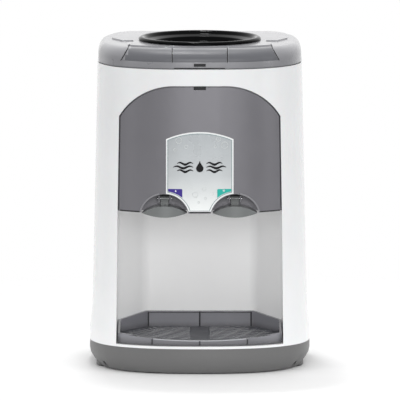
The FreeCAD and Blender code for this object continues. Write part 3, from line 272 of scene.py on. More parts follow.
def tray_styrene(colours):
    # Smoked transparent styrene, moulded: lets light through its walls; its edges carry painted shade, mixed
    # in dark.
    # Its colour also carries painted shade, darker towards the bottom of the walls.
    made, tree, place = new_material("styrene_smoked_grey_painted_shade")
    height = node(tree, "ShaderNodeSeparateXYZ", {"Vector": place})
    # Painted shade: the colour falls to about a third towards the bottom of the walls.
    clear = ramp(tree, height.outputs["Z"], (GRATE_HIGH.z - 6 * MM, GRATE_HIGH.z + 7 * MM), (0.36, 1.0))
    painted_low_shade = node(tree, "ShaderNodeMix", {0: 1.0, 6: shaded(tree, place, colours.tray, 70, 0.03), 7: clear},
                data_type="RGBA", blend_type="MULTIPLY")
    # Painted shade on the edges: they are mixed almost all the way to near-black.
    base = edge_wear_and_painted_light(tree, painted_low_shade.outputs[2], 1.1, linear("#1d1d21"), 0.9)
    return finish_material(made, node(tree, "ShaderNodeBsdfPrincipled", {
        "Base Color": base, "Roughness": smudged(tree, place, 0.2, 0.03, 25), "IOR": 1.57,
        "Transmission Weight": 0.55, "Coat Weight": 0.2, "Coat Roughness": 0.08,
        "Normal": surface(tree, place, 1.1, 1.6, 0.003, 45, 0.04)}))


def grate_styrene(colours):
    # The grate's plate: the smoked styrene, thicker and darker, with a dull textured top.
    return moulded("styrene_smoked_grate", colours.grate, 0.5, grain_depth=0.02,
                   wear_and_painted_sheen="#c9cbd0", wear_and_painted_sheen_amount=0.4, extra={"Specular IOR Level": 0.15})


def ripple_styrene(colours):
    # The grate's ribs: the same styrene left glossy, so each one carries a highlight; a pale painted
    # highlight is also mixed in along its edges.
    return moulded("styrene_smoked_ribs_painted_highlight", colours.grate, 0.14, coat=0.8, grain_depth=0.003, wave_depth=0.04,
                   wear_and_painted_sheen="#e4e6ea", wear_and_painted_sheen_amount=0.85, edge_mm=0.9)


def rim_painted_highlight():
    # A painted highlight: pale styrene laid where the tray's front rim catches the lamp.
    return moulded("styrene_rim_painted_highlight", linear("#c4c6ca"), 0.15, coat=0.3, grain_depth=0.002,
                   wear_and_painted_sheen_amount=0.0)


def tray_rib_painted_shade():
    # The tray's ribs and the line under its back rim: near-black painted shade, with a paler painted
    # highlight on their edges.
    return moulded("styrene_rib_painted_shade", linear("#26262a"), 0.2, coat=0.3, grain_depth=0.003,
                   wear_and_painted_sheen="#8a8a90", wear_and_painted_sheen_amount=0.5)


def fascia_shade_abs(colours):
    # ABS, textured tool, on the cover's front; its colour is darker than the cover's as painted shade.
    return moulded("abs_textured_fascia_painted_shade", colours.inlay, 0.42, grain_mm=1.3, grain_depth=0.02, wear_and_painted_sheen_amount=0.0)


def seat_abs(colours):
    # ABS in a mirror-polished tool: piano black with sharp lamp reflections.
    return moulded("abs_piano_black", colours.seat, 0.09, grain_depth=0.0015, wave_depth=0.03,
                   wear_and_painted_sheen="#232326", wear_and_painted_sheen_amount=0.1, extra={"Specular IOR Level": 0.045})


def matt_black(name="pa_matt_black", hex_colour="#17171a", roughness=0.55):
    # Glass-filled nylon: matt black with a visible grain.
    return moulded(name, linear(hex_colour), roughness, grain_mm=1.2, grain_depth=0.04,
                   wear_and_painted_sheen="#4a4a4e", wear_and_painted_sheen_amount=0.4)


def foot_rubber():
    # Moulded rubber: dark, dry, lighter on its edges with scuffs and a painted highlight.
    return moulded("rubber_moulded_dark", linear("#2e2e30"), 0.8, grain_mm=1.8, grain_depth=0.08,
                   wear_and_painted_sheen="#6b6b6b", wear_and_painted_sheen_amount=0.5)


def white_label():
    # Printed polycarbonate film under a clear dome: the border and the small marks.
    return moulded("film_printed_white", linear("#f4f6f6"), 0.2, coat=0.5, grain_depth=0.002, wave_depth=0.02)


def ink_film(name, colour):
    # Screen-printed ink under a satin film: dense and even.
    return moulded(name, colour, 0.5, grain_depth=0.003, wave_depth=0.01, wear_and_painted_sheen_amount=0.03,
                   extra={"Specular IOR Level": 0.2})


def silver_film(colours):
    """Vacuum-metallised film with a painted sheen: pale at its foot, greyer at its arch, with a fine brushed
    grain.
    """
    # Aluminium vapour on film; its colour carries a painted sheen, paler low down and greyer up to the arch.
    made, tree, place = new_material("film_metallised_silver_painted_sheen")
    height = node(tree, "ShaderNodeSeparateXYZ", {"Vector": place}).outputs["Z"]
    share = ramp(tree, height, (BADGE_LOW.z, BADGE_HIGH.z), (0.0, 1.0))
    painted_sheen_tones = node(tree, "ShaderNodeValToRGB", {"Fac": share})
    painted_sheen_tones.color_ramp.elements[0].color = linear("#f1f4f3")
    painted_sheen_tones.color_ramp.elements[1].color = linear("#aeb3b6")
    middle = painted_sheen_tones.color_ramp.elements.new(0.45)
    middle.color = colours.silver
    stretch = node(tree, "ShaderNodeMapping", {"Vector": place, "Scale": (1.0, 1.0, 14.0)})
    lines = node(tree, "ShaderNodeTexNoise", {"Vector": stretch.outputs["Vector"], "Scale": per_mm(9),
                                             "Detail": 3.0})
    grain = node(tree, "ShaderNodeBump", {"Strength": 1.0, "Distance": 0.01 * MM,
                                         "Height": lines.outputs["Fac"]})
    shader = node(tree, "ShaderNodeBsdfPrincipled",
                  {"Base Color": painted_sheen_tones.outputs["Color"], "Metallic": 0.25, "Coat Weight": 0.4,
                   "Roughness": smudged(tree, place, 0.3, 0.04, 20), "Normal": grain.outputs["Normal"]})
    return finish_material(made, shader)


def metal(name, hex_colour, roughness, grain_mm, grain_depth):
    """A bare metal with a fine directional grain."""
    made, tree, place = new_material(name)
    stretch = node(tree, "ShaderNodeMapping", {"Vector": place, "Scale": (1.0, 1.0, 12.0)})
    lines = node(tree, "ShaderNodeTexNoise", {"Vector": stretch.outputs["Vector"], "Scale": per_mm(grain_mm),
                                             "Detail": 3.0})
    edge = node(tree, "ShaderNodeBevel", {"Radius": 0.3 * MM}, samples=4)
    grain = node(tree, "ShaderNodeBump", {"Strength": 1.0, "Distance": grain_depth * MM,
                                         "Height": lines.outputs["Fac"], "Normal": edge.outputs["Normal"]})
    shader = node(tree, "ShaderNodeBsdfPrincipled",
                  {"Base Color": shaded(tree, place, linear(hex_colour), 12, 0.12), "Metallic": 1.0,
                   "Roughness": smudged(tree, place, roughness, 0.06, 6), "Normal": grain.outputs["Normal"]})
    return finish_material(made, shader)


def foam_beads():
    """Expanded polystyrene: fused white beads."""
    # Bead foam, steam moulded: matt white with a cell pattern of about 3 mm.
    made, tree, place = new_material("eps_bead_foam")
    cells = node(tree, "ShaderNodeTexVoronoi", {"Vector": place, "Scale": per_mm(3.5)})
    bump = node(tree, "ShaderNodeBump", {"Strength": 1.0, "Distance": 0.4 * MM,
                                        "Height": cells.outputs["Distance"]})
    shader = node(tree, "ShaderNodeBsdfPrincipled",
                  {"Base Color": shaded(tree, place, linear("#f0f0ec"), 8, 0.06), "Roughness": 0.9,
                   "Normal": bump.outputs["Normal"]})
    return finish_material(made, shader)


def slot_materials(colours):
    """One finish for each of the record's material slots."""
    return {
        "housing_white": housing_abs(colours),
        "panel_grey": panel_abs(colours),
        "cover_grey": cover_abs(colours),
        "base_grey": base_abs(colours),
        "lever_grey": lever_abs(colours),
        "tray_grey": tray_styrene(colours),
        "seat_black": seat_abs(colours),
        "badge_silver": silver_film(colours),
        "latch_black": matt_black(),
        "foot_rubber": foot_rubber(),
        "screw_steel": metal("steel_zinc_plated", "#b9babc", 0.32, 3, 0.02),
        "stainless": metal("steel_stainless_drawn", "#c8c8ca", 0.24, 2, 0.015),
        # Acetal: milky, waxy white.
        "valve_plastic": moulded("acetal_natural", linear("#e6e6e0"), 0.38, grain_depth=0.01),
        # Silicone: soft, slightly milky rubber.
        "seal_silicone": moulded("silicone_milky", linear("#d4d4cd"), 0.5, grain_depth=0.02),
        # Polypropylene: dull white with a waxy sheen.
        "inner_plastic": moulded("polypropylene_white", linear("#dfe2e2"), 0.42, grain_depth=0.02),
        "foam_white": foam_beads(),
        "aluminium": metal("aluminium_extruded", "#c4c5c8", 0.34, 2.5, 0.03),
        # Alumina plates of the cooling module: dry white ceramic.
        "ceramic_white": moulded("alumina_sintered", linear("#e9e8e2"), 0.7, grain_depth=0.03),
        "fan_black": matt_black("pbt_fan_black", "#121214", 0.5),
        # Epoxy-glass board under a glossy solder mask.
        "board_green": moulded("solder_mask_green", linear("#1e5a35"), 0.3, coat=0.3, grain_depth=0.02),
        "lead_black": matt_black("pvc_lead_black", "#141416", 0.45),
    }


# ---- making pieces ------------------------------------------------------------------------
def colours():
    """The colours set in the sidebar."""
    return bpy.context.scene.dispenser_colours


def sizes():
    """The sizes set in the sidebar."""
    return bpy.context.scene.dispenser_sizes


def finish_of(slot):
    """The material made for one of the record's slots."""
    return FINISHES[slot]


FINISHES = {}
NODE_SLOTS = {part["node"]: part["material_slot"] for part in frame["record"]["subparts"]}
NODE_BODY = {name: body for body, names in frame["record"]["behaviour"]["bodies"].items() for name in names}


def new_piece(name, bm, material, body, smooth_angle=35.0):
    """Turn a bmesh into a finished piece that rides on a body."""
    mesh = bpy.data.meshes.new(name)
    bm.to_mesh(mesh)
    bm.free()
    piece = bpy.data.objects.new(name, mesh)
    bpy.context.scene.collection.objects.link(piece)
    mesh.materials.append(material)
    smooth(piece, smooth_angle)
    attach(piece, body)
    return piece


def smooth(piece, angle):
    """Shade smooth, with a sharp edge where two faces meet at more than the angle."""
    bm = bmesh.new()
    bm.from_mesh(piece.data)
    limit = math.radians(angle)
    for face in bm.faces:
        face.smooth = True
    for edge in bm.edges:
        edge.smooth = not (len(edge.link_faces) == 2 and edge.calc_face_angle(0.0) > limit)
    bm.to_mesh(piece.data)
    bm.free()
    weighted = piece.modifiers.new("even_normals", "WEIGHTED_NORMAL")
    weighted.keep_sharp = True


def shell_of(node_name, material=None, angle=28.0):
    """A welded, smooth-shaded copy of a CAD node that stands for it."""
    bm = bmesh.new()
    bm.from_mesh(frame["nodes"][node_name].data)
    bmesh.ops.remove_doubles(bm, verts=bm.verts, dist=WELD_DISTANCE)
    slot = NODE_SLOTS[node_name]
    piece = new_piece(node_name + "_skin", bm, material or finish_of(slot), NODE_BODY[node_name], angle)
    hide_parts(node_name)
    return piece


def arc(centre_x, centre_z, radius, start, end, steps):
    """(x, z) points along an arc, angles in degrees."""
    points = []
    for step in range(steps + 1):
        turn = math.radians(start + (end - start) * step / steps)
        points.append((centre_x + radius * math.cos(turn), centre_z + radius * math.sin(turn)))
    return points


def front_of(*node_names):
    """What a ray from the front meets on some CAD nodes."""
    bm = bmesh.new()
    for node_name in node_names:
        bm.from_mesh(frame["nodes"][node_name].data)
    tree = BVHTree.FromBMesh(bm)
    bm.free()
    return tree


def laid_on(tree, x, z, lift):
    """The y of a point that lies a little proud of the front of some nodes."""
    hit = tree.ray_cast(Vector((x, BEFORE_THE_OBJECT, z)), Vector((0, 1, 0)))[0]
    if hit is None:
        raise RuntimeError("nothing lies behind the point %.4f %.4f" % (x, z))
    return hit.y - lift


def slice_up(bm, way, spread, step):
    """Cut a flat face into strips, so that it can bend."""
    place = math.ceil(min(spread) / step) * step
    while place < max(spread):
        bmesh.ops.bisect_plane(bm, geom=bm.verts[:] + bm.edges[:] + bm.faces[:], dist=1e-6,
                               plane_co=way * place, plane_no=way)
        place += step


def film(name, points, tree, lift, thickness, material, slot="badge_silver", body="body", pitch=4.0,
         rise_pitch=None):
    """A thin printed or moulded layer with an (x, z) outline, laid on a curved front."""
    bm = bmesh.new()
    verts = [bm.verts.new((x, 0.0, z)) for x, z in points]
    bm.faces.new(verts)
    slice_up(bm, Vector((1, 0, 0)), [x for x, _ in points], pitch * MM)
    if rise_pitch:
        slice_up(bm, Vector((0, 0, 1)), [z for _, z in points], rise_pitch * MM)
    for vert in bm.verts:
        vert.co.y = laid_on(tree, vert.co.x, vert.co.z, lift)
    bmesh.ops.recalc_face_normals(bm, faces=bm.faces)
    grown = bmesh.ops.extrude_face_region(bm, geom=bm.faces[:])["geom"]
    proud = [part for part in grown if isinstance(part, bmesh.types.BMVert)]
    bmesh.ops.translate(bm, vec=(0, -thickness, 0), verts=proud)
    bmesh.ops.recalc_face_normals(bm, faces=bm.faces)
    return new_piece(name, bm, material, body)


def box_points(x0, x1, z0, z1):
    """The corners of an upright rectangle."""
    return [(x0, z0), (x1, z0), (x1, z1), (x0, z1)]


def bar(name, low, high, round_edge, material, body):
    """A small block between two corners, with rounded edges."""
    bm = bmesh.new()
    middle, size = (low + high) / 2, high - low
    bmesh.ops.create_cube(bm, size=1.0, matrix=Matrix.Translation(middle) @ Matrix.Diagonal((*size, 1.0)))
    bmesh.ops.bevel(bm, geom=bm.edges[:], offset=round_edge, offset_type="OFFSET", segments=2, profile=0.5,
                    affect="EDGES", material=-1, clamp_overlap=True)
    return new_piece(name, bm, material, body)


def mirrored_points(points):
    """The left-hand copy of an outline, wound the same way."""
    return [(-x, z) for x, z in reversed(points)]


# ---- the badge ----------------------------------------------------------------------------
BADGE_HALF = BADGE_HIGH.x
BADGE_SIDE_TOP = BADGE_HIGH.z - 9.5 * MM
SCALLOP_GAP = 0.8 * MM
MARK_INNER = 22.5 * MM
MARK_TOP = SCALLOP_Z + 38.8 * MM
MARK_ROUND = 1.4 * MM
EMBLEM_Z = BADGE_LOW.z + 57.5 * MM
WAVE_SPACING = 4.8
WAVE_SWING = 1.3 * MM
WAVE_THICK = 3.1 * MM


def badge_outline(inset):
    """The badge's outline, moved in: arched top, straight sides, scalloped foot."""
    half = BADGE_HALF - inset
    rise = BADGE_HIGH.z - BADGE_SIDE_TOP
    arch_radius = (BADGE_HALF ** 2 + rise ** 2) / (2 * rise) - inset
    arch_z = BADGE_HIGH.z - inset - arch_radius
    radius = SCALLOP_RADIUS + SCALLOP_GAP + inset
    bottom = BADGE_LOW.z + inset * 0.5
    side_angle = math.degrees(math.acos((half - TAP_X) / radius))
    foot_angle = 180 - math.degrees(math.asin((bottom - SCALLOP_Z) / radius))
    right = arc(TAP_X, SCALLOP_Z, radius, foot_angle, side_angle, 14)
    top_angle = math.degrees(math.acos(half / arch_radius))
    top = arc(0, arch_z, arch_radius, top_angle, 180 - top_angle, 24)
    return right + top + mirrored_points(right)


def corner_mark(border):
    """The coloured mark in the badge's right lower corner, with one rounded corner."""
    radius = SCALLOP_RADIUS + SCALLOP_GAP + border + 0.7 * MM
    outer, inner = BADGE_HALF - border - 0.2 * MM, MARK_INNER
    low = math.degrees(math.acos((outer - TAP_X) / radius))
    high = math.degrees(math.acos((inner - TAP_X) / radius))
    lower = arc(TAP_X, SCALLOP_Z, radius, high, low, 8)
    corner = arc(inner + MARK_ROUND, MARK_TOP - MARK_ROUND, MARK_ROUND, 90, 180, 4)
    return lower + [(outer, MARK_TOP)] + corner


def ribbon(left, right, height, swing, waves, thickness, steps=40):
    """A wavy ribbon that thins at both ends."""
    upper, lower = [], []
    for step in range(steps + 1):
        share = step / steps
        x = left + (right - left) * share
        z = height + swing * math.sin(2 * math.pi * waves * share)
        half = thickness / 2 * (0.25 + 0.75 * math.sin(math.pi * share))
        upper.append((x, z + half))
        lower.append((x, z - half))
    return lower + upper[::-1]


def droplet(x, z, radius):
    """A water drop: a round belly under a point."""
    belly = arc(x, z, radius, 148, 392, 22)
    return belly + [(x + radius * 0.30, z + radius * 1.35), (x, z + radius * 2.1),
                    (x - radius * 0.30, z + radius * 1.35)]


class DISPENSER_OT_badge(bpy.types.Operator):
    """Make the badge: white border, silver label, a drop and waves, and the corner marks"""
    bl_idname = "dispenser.badge"
    bl_label = "Badge"

    def execute(self, context):
        border = sizes().badge_border
        white = white_label()
        ink = ink_film("ink_black", colours().ink)
        shell_of("badge_plate", white)
        tree = front_of("badge_plate")
        lift, thick = -0.02 * MM, 0.25 * MM
        film("badge_line", badge_outline(border - 0.75 * MM), tree, lift, thick,
             ink_film("ink_line_grey", linear("#7f9597")))
        lift += thick
        film("badge_label", badge_outline(border), tree, lift, thick, finish_of("badge_silver"))
        lift += thick
        mark = corner_mark(border)
        film("badge_mark_cold", mark, tree, lift, thick, ink_film("ink_teal", colours().cold))
        film("badge_mark_natural", mirrored_points(mark), tree, lift, thick,
             ink_film("ink_purple", colours().natural))
        film("badge_drop", droplet(0, EMBLEM_Z - 1.6 * MM, 4.8 * MM), tree, lift, thick, ink, pitch=2.0)
        for row, rise in enumerate((-WAVE_SPACING, 0.0, WAVE_SPACING)):
            for name, side in (("left", -1), ("right", 1)):
                near, far = 8.5 * MM, (34.0 - abs(rise)) * MM
                ends = sorted((side * near, side * far))
                wave = ribbon(ends[0], ends[1], EMBLEM_Z + rise * MM, WAVE_SWING, 1.5, WAVE_THICK)
                film("badge_wave_%s_%d" % (name, row), wave, tree, lift, thick, ink, pitch=2.0)
        self.bubbles(tree, lift, thick * 0.6)
        self.small_marks(tree, lift + thick, thick * 0.5, white)
        return {"FINISHED"}

    def bubbles(self, tree, lift, thick):
        """Faint rings, large to small, that rise in the label's corners."""
        pale = ink_film("ink_pearl", linear("#d9dddd"))
        # x, rise above the badge's foot and radius of each ring, in mm.
        rings = [(-27, 92, 4.2), (-17.5, 84, 2.6), (-32, 80, 2.0), (24, 94, 3.2), (32, 86, 4.6),
                 (20, 84, 1.8), (-6, 22, 3.8), (5.5, 29, 2.6), (7, 17, 1.9), (-1.5, 12, 1.6)]
        for index, (x, rise, radius) in enumerate(rings):
            outer = arc(x * MM, BADGE_LOW.z + rise * MM, radius * MM, 0, 350, 28)
            inner = arc(x * MM, BADGE_LOW.z + rise * MM, (radius - 0.75) * MM, 350, 0, 28)
            film("badge_bubble_%02d" % index, outer + inner, tree, lift, thick, pale, pitch=6.0)

    def small_marks(self, tree, lift, thick, white):
        """A drop on the natural mark and three crossed bars on the cold one."""
        x, z = 31.0 * MM, SCALLOP_Z + 36.7 * MM
        film("badge_icon_natural", droplet(-x, z - 0.8 * MM, 0.95 * MM), tree, lift, thick, white)
        for index, turn in enumerate((0, 60, 120)):
            way = Vector((math.cos(math.radians(turn)), math.sin(math.radians(turn))))
            across = Vector((-way.y, way.x)) * 0.28 * MM
            ends = [way * 1.7 * MM + across, way * -1.7 * MM + across, way * -1.7 * MM - across,
                    way * 1.7 * MM - across]
            film("badge_icon_cold_%d" % index, [(x + p.x, z + p.y) for p in ends], tree,
                 lift + index * thick * 0.1, thick, white)


# ---- housing, panel and cover -------------------------------------------------------------
class DISPENSER_OT_shells(bpy.types.Operator):
    """Finish the white housing, the bay, the rear cover, the grey base and the top cover"""
    bl_idname = "dispenser.shells"
    bl_label = "Shells"

    def execute(self, context):
        bay = bay_abs(colours())
        for name in ("niche_liner", "bay_ceiling", "tray_well"):
            shell_of(name, bay)
        for name in ("front_housing", "rear_cover", "base_pan", "top_cover", "tap_panel",
                     "tap_recess_left", "tap_recess_right", "cover_latch", "panel_latch",
                     "foot_front_left", "foot_front_right", "foot_rear_left", "foot_rear_right",
                     "power_inlet", "switch_bezel", "power_switch"):
            shell_of(name)
        return {"FINISHED"}


class DISPENSER_OT_panel_trim(bpy.types.Operator):
    """Make the rims round the tap recesses with a painted highlight, the painted shade along the panel's
    lower edge, and the cover's fascia with its painted shade
    """
    bl_idname = "dispenser.panel_trim"
    bl_label = "Panel trim"

    def execute(self, context):
        tree = front_of("tap_panel", "front_housing")
        width = sizes().rim_width
        inner = SCALLOP_RADIUS + 0.2 * MM
        low = math.degrees(math.asin((PANEL_BOTTOM + 0.5 * MM - SCALLOP_Z) / inner))
        outline = arc(TAP_X, SCALLOP_Z, inner, 78, low, 22)
        outline += arc(TAP_X, SCALLOP_Z, inner + width, low, 78, 22)
        # The rims take the cover's lighter grey: a painted highlight along the arcs.
        for name, points in (("right", outline), ("left", mirrored_points(outline))):
            film("scallop_rim_" + name, points, tree, -0.1 * MM, 0.9 * MM, finish_of("cover_grey"),
                 slot="panel_grey", pitch=3.0)
        self.lower_edge_shade(front_of("tap_panel"), front_of("tap_panel", "badge_plate"))
        self.fascia()
        return {"FINISHED"}

    def lower_edge_shade(self, panel, badge):
        """Painted shade along the panel's lower edge: a dark strip, drawn as thin films."""
        # Near-black painted shade, not a material of the panel.
        shade = matt_black("abs_lip_in_shade", "#1c1c1e", 0.6)
        low, high = PANEL_BOTTOM + 0.15 * MM, PANEL_BOTTOM + sizes().edge_shade_height
        outer = PANEL_HIGH.x - 7.0 * MM
        side = box_points(TAP_X + SCALLOP_RADIUS + 0.6 * MM, outer, low, high)
        foot = TAP_X - SCALLOP_RADIUS - 0.8 * MM
        film("panel_lower_edge_shade_right", side, panel, -0.05 * MM, 0.25 * MM, shade, slot="panel_grey")
        film("panel_lower_edge_shade_left", mirrored_points(side), panel, -0.05 * MM, 0.25 * MM, shade, slot="panel_grey")
        film("panel_lower_edge_shade_middle", box_points(-foot, foot, low, high), badge, -0.05 * MM, 0.25 * MM, shade,
             slot="panel_grey")

    def fascia(self):
        """Painted shade on the cover's front: darker films between its grooves, and near-black strips in the
        grooves and along the slanted edges.
        """
        cover = front_of("top_cover")
        low, high = COVER_LOW.z + 15.2 * MM, COVER_HIGH.z - 1.5 * MM
        slant = -11.0 / 18.5
        groove, outer = 35.5 * MM, 101.4 * MM
        inner = groove + 1.1 * MM
        right = [(inner, low), (outer, low), (outer + slant * (high - low), high), (inner, high)]
        # The darker grey of these films is painted shade.
        inlay = fascia_shade_abs(colours())
        middle = box_points(1.1 * MM - groove, groove - 1.1 * MM, low, high)
        fit = {"slot": "cover_grey", "body": "top_cover_body", "pitch": 4.0, "rise_pitch": 0.75}
        for name, points in (("right", right), ("left", mirrored_points(right)), ("middle", middle)):
            film("fascia_painted_shade_" + name, points, cover, 0.02 * MM, 0.15 * MM, inlay, **fit)
        # Near-black painted shade in the grooves and along the slanted edges.
        shade = matt_black("abs_groove_in_shade", "#2b2b2e", 0.6)
        upright = box_points(groove - 0.7 * MM, groove + 0.6 * MM, low - 0.4 * MM, high)
        slanted = [(outer, low - 0.4 * MM), (outer + 1.4 * MM, low - 0.4 * MM),
                   (outer + 1.4 * MM + slant * (high - low), high), (outer + slant * (high - low), high)]
        for name, points in (("upright", upright), ("slanted", slanted)):
            for side, drawn in (("right", points), ("left", mirrored_points(points))):
                film("fascia_%s_%s" % (name, side), drawn, cover, 0.05 * MM, 0.2 * MM, shade, **fit)


# ---- bottle seat --------------------------------------------------------------------------
class DISPENSER_OT_bottle_seat(bpy.types.Operator):
    """Turn the black bottle seat on its axis"""
    bl_idname = "dispenser.bottle_seat"
    bl_label = "Bottle seat"

    def execute(self, context):
        top = SEAT_HIGH.z / MM
        # Radius and height of each corner in mm: up the dish's steps, over the ring, back underneath.
        profile = [(9.0, 372.0), (29.0, 375.0), (29.0, 398.0), (33.0, 402.0), (42.0, 405.0), (45.0, 411.0),
                   (57.0, 414.5), (60.0, 420.0), (68.0, 422.5), (71.5, 426.0), (73.5, top), (76.6, top),
                   (79.4, top - 2.0), (79.4, 422.8), (75.2, 422.8), (74.6, 419.8), (69.5, 419.6),
                   (62.4, 417.4), (59.4, 411.6), (47.4, 408.2), (44.4, 402.4), (35.4, 399.4),
                   (31.6, 396.4), (31.6, 372.6), (9.0, 369.4)]
        bm = bmesh.new()
        verts = [bm.verts.new((radius * MM, SEAT_AXIS.y, z * MM)) for radius, z in profile]
        bm.faces.new(verts)
        bmesh.ops.bevel(bm, geom=bm.verts[:], offset=sizes().seat_round, offset_type="OFFSET", segments=3,
                        profile=0.5, affect="VERTICES", material=-1, clamp_overlap=True)
        bmesh.ops.delete(bm, geom=bm.faces[:], context="FACES_ONLY")
        bmesh.ops.spin(bm, geom=bm.verts[:] + bm.edges[:], cent=(0, SEAT_AXIS.y, 0), axis=(0, 0, 1),
                       angle=2 * math.pi, steps=144, use_merge=True)
        bmesh.ops.remove_doubles(bm, verts=bm.verts, dist=1e-6)
        bmesh.ops.recalc_face_normals(bm, faces=bm.faces)
        piece = new_piece("bottle_seat_ring", bm, finish_of("seat_black"), "bottle_seat_body",
                          40)
        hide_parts("bottle_seat")
        shell_of("bottle_probe")
        return {"FINISHED"}


# ---- levers -------------------------------------------------------------------------------
class DISPENSER_OT_levers(bpy.types.Operator):
    """Finish the press levers, with softened lens-shaped pads"""
    bl_idname = "dispenser.levers"
    bl_label = "Levers"

    def execute(self, context):
        for name in ("left", "right"):
            piece = shell_of("tap_lever_" + name, angle=40.0)
            edge = piece.modifiers.new("soft_edges", "BEVEL")
            edge.width = sizes().lever_round
            edge.segments = 2
            edge.limit_method = "ANGLE"
            edge.angle_limit = math.radians(40)
            piece.modifiers.move(len(piece.modifiers) - 1, 0)
            shell_of("tap_body_" + name)
        return {"FINISHED"}


# ---- drip tray ----------------------------------------------------------------------------
RIPPLE_DEPTH = 62.0 * MM
RIPPLE_Y = SEAT_AXIS.y + RIPPLE_DEPTH
FIELD_NEAR, FIELD_FAR = 12.0 * MM, 93.0 * MM
FIELD_BACK, FIELD_FRONT = -26.0 * MM, 104.0 * MM
TRAY_CHAMFER_X = 56.0 * MM
TRAY_CHAMFER_SLOPE = 42.0 / 38.0
FRONT_HALF_WIDTH = 132.0 * MM
FRONT_ROUNDNESS = 2.5
RIPPLE_FIRST, RIPPLE_SPACING, RIPPLE_COUNT = 41.8, 11.0, 11
RIPPLE_HALF_WIDTH = 2.6 * MM
SCOOP_LOW = TRAY_FRONT_FLOOR + 6.7 * MM
SCOOP_RADIUS = 962.5 * MM


def ripple_span(radius):
    """The angles in degrees between which an arc lies on the grate's slotted field."""
    inside = []
    for degree in range(0, 91):
        turn = math.radians(degree)
        x, depth = radius * math.cos(turn), radius * math.sin(turn) - RIPPLE_DEPTH
        back = FIELD_BACK + max(0.0, x - TRAY_CHAMFER_X) * TRAY_CHAMFER_SLOPE
        share = min(1.0, x / FRONT_HALF_WIDTH)
        front = FIELD_FRONT * (1 - share ** FRONT_ROUNDNESS) ** (1 / FRONT_ROUNDNESS)
        if FIELD_NEAR < x < FIELD_FAR and back < depth < front:
            inside.append(degree)
    return (inside[0], inside[-1]) if len(inside) > 3 else None


class DISPENSER_OT_tray(bpy.types.Operator):
    """Finish the smoked drip tray and its lift-out grate"""
    bl_idname = "dispenser.tray"
    bl_label = "Drip tray"

    def execute(self, context):
        shell_of("drip_tray")
        shell_of("drip_grate", grate_styrene(colours()))
        # Near-black painted shade for the tray's ribs and the line under its back rim.
        thick = tray_rib_painted_shade()
        half = sizes().rib_width / 2
        for index, x in enumerate((-67 * MM, 0.0, 67 * MM)):
            low = Vector((x - half, TRAY_BACK_WALL - 0.9 * MM, GRATE_HIGH.z + 0.1 * MM))
            high = Vector((x + half, TRAY_BACK_WALL + 0.4 * MM, TRAY_HIGH.z - 1.0 * MM))
            bar("tray_back_rib_painted_shade_%d" % index, low, high, 0.3 * MM, thick, "tray")
        # A dark bar just under the back rim: a painted shadow.
        low = Vector((-66 * MM, TRAY_BACK_WALL - 0.5 * MM, TRAY_HIGH.z - 2.6 * MM))
        high = Vector((66 * MM, TRAY_BACK_WALL + 0.4 * MM, TRAY_HIGH.z - 1.5 * MM))
        bar("tray_back_rim_shadow", low, high, 0.25 * MM, thick, "tray")
        self.front_wall(front_of("drip_tray"), half, thick)
        self.ripples(ripple_styrene(colours()))
        return {"FINISHED"}

    def front_wall(self, front, half, thick):
        """The ribs on the tray's front wall in near-black painted shade, and a painted highlight along its
        scooped rim.
        """
        for index, x in enumerate((-61.5 * MM, 0.0, 61.5 * MM)):
            top = TRAY_FRONT_FLOOR + (6.2 if x == 0 else 7.6) * MM
            rib = box_points(x - half, x + half, TRAY_FRONT_FLOOR, top)
            film("tray_front_rib_painted_shade_%d" % index, rib, front, -0.1 * MM, 0.5 * MM, thick, slot="tray_grey",
                 body="tray", pitch=1.0)
        edge = [(x * MM, SCOOP_LOW + (x * MM) ** 2 / (2 * SCOOP_RADIUS)) for x in range(-60, 61, 6)]
        below = [(x, z - 0.9 * MM) for x, z in reversed(edge)]
        film("tray_front_rim_painted_highlight", edge + below, front, -0.1 * MM, 0.3 * MM, rim_painted_highlight(), slot="tray_grey",
             body="tray", pitch=3.0)

    def ripples(self, gloss):
        """Arcs of wavy ribs on both sides of the grate's plain middle strip."""
        rise = sizes().ripple_height
        for step in range(RIPPLE_COUNT):
            radius = (RIPPLE_FIRST + RIPPLE_SPACING * step) * MM
            span = ripple_span(radius)
            if span is None:
                continue
            for name, side in (("left", -1), ("right", 1)):
                self.ripple("ripple_%s_%02d" % (name, step), radius, span, side, rise, gloss)

    def ripple(self, name, radius, span, side, rise, gloss):
        """One wavy rib: a domed section spun about the pattern's centre."""
        bm = bmesh.new()
        first = math.radians(span[0])
        outline = []
        for turn in range(0, 181, 30):
            across = radius + RIPPLE_HALF_WIDTH * math.cos(math.radians(turn))
            up = rise * math.sin(math.radians(turn))
            outline.append(bm.verts.new((side * across * math.cos(first), RIPPLE_Y - across * math.sin(first),
                                         GRATE_HIGH.z - 0.3 * MM + up)))
        outline += [outline[0]]
        edges = [bm.edges.new(pair) for pair in zip(outline, outline[1:])]
        turn = math.radians(span[1] - span[0])
        steps = max(6, int(turn * radius / (1.5 * MM)))
        bmesh.ops.spin(bm, geom=edges + outline[:-1], cent=(0, RIPPLE_Y, 0), axis=(0, 0, 1),
                       angle=-side * turn, steps=steps)
        bmesh.ops.holes_fill(bm, edges=[e for e in bm.edges if len(e.link_faces) == 1], sides=0)
        for vert in bm.verts:
            if vert.co.z > GRATE_HIGH.z:
                share = (vert.co.z - GRATE_HIGH.z) / rise
                vert.co.z += share * 0.7 * MM * math.sin(vert.co.x / (3.4 * MM) + radius / (9 * MM))
        bmesh.ops.recalc_face_normals(bm, faces=bm.faces)
        new_piece(name, bm, gloss, "grate", 60)


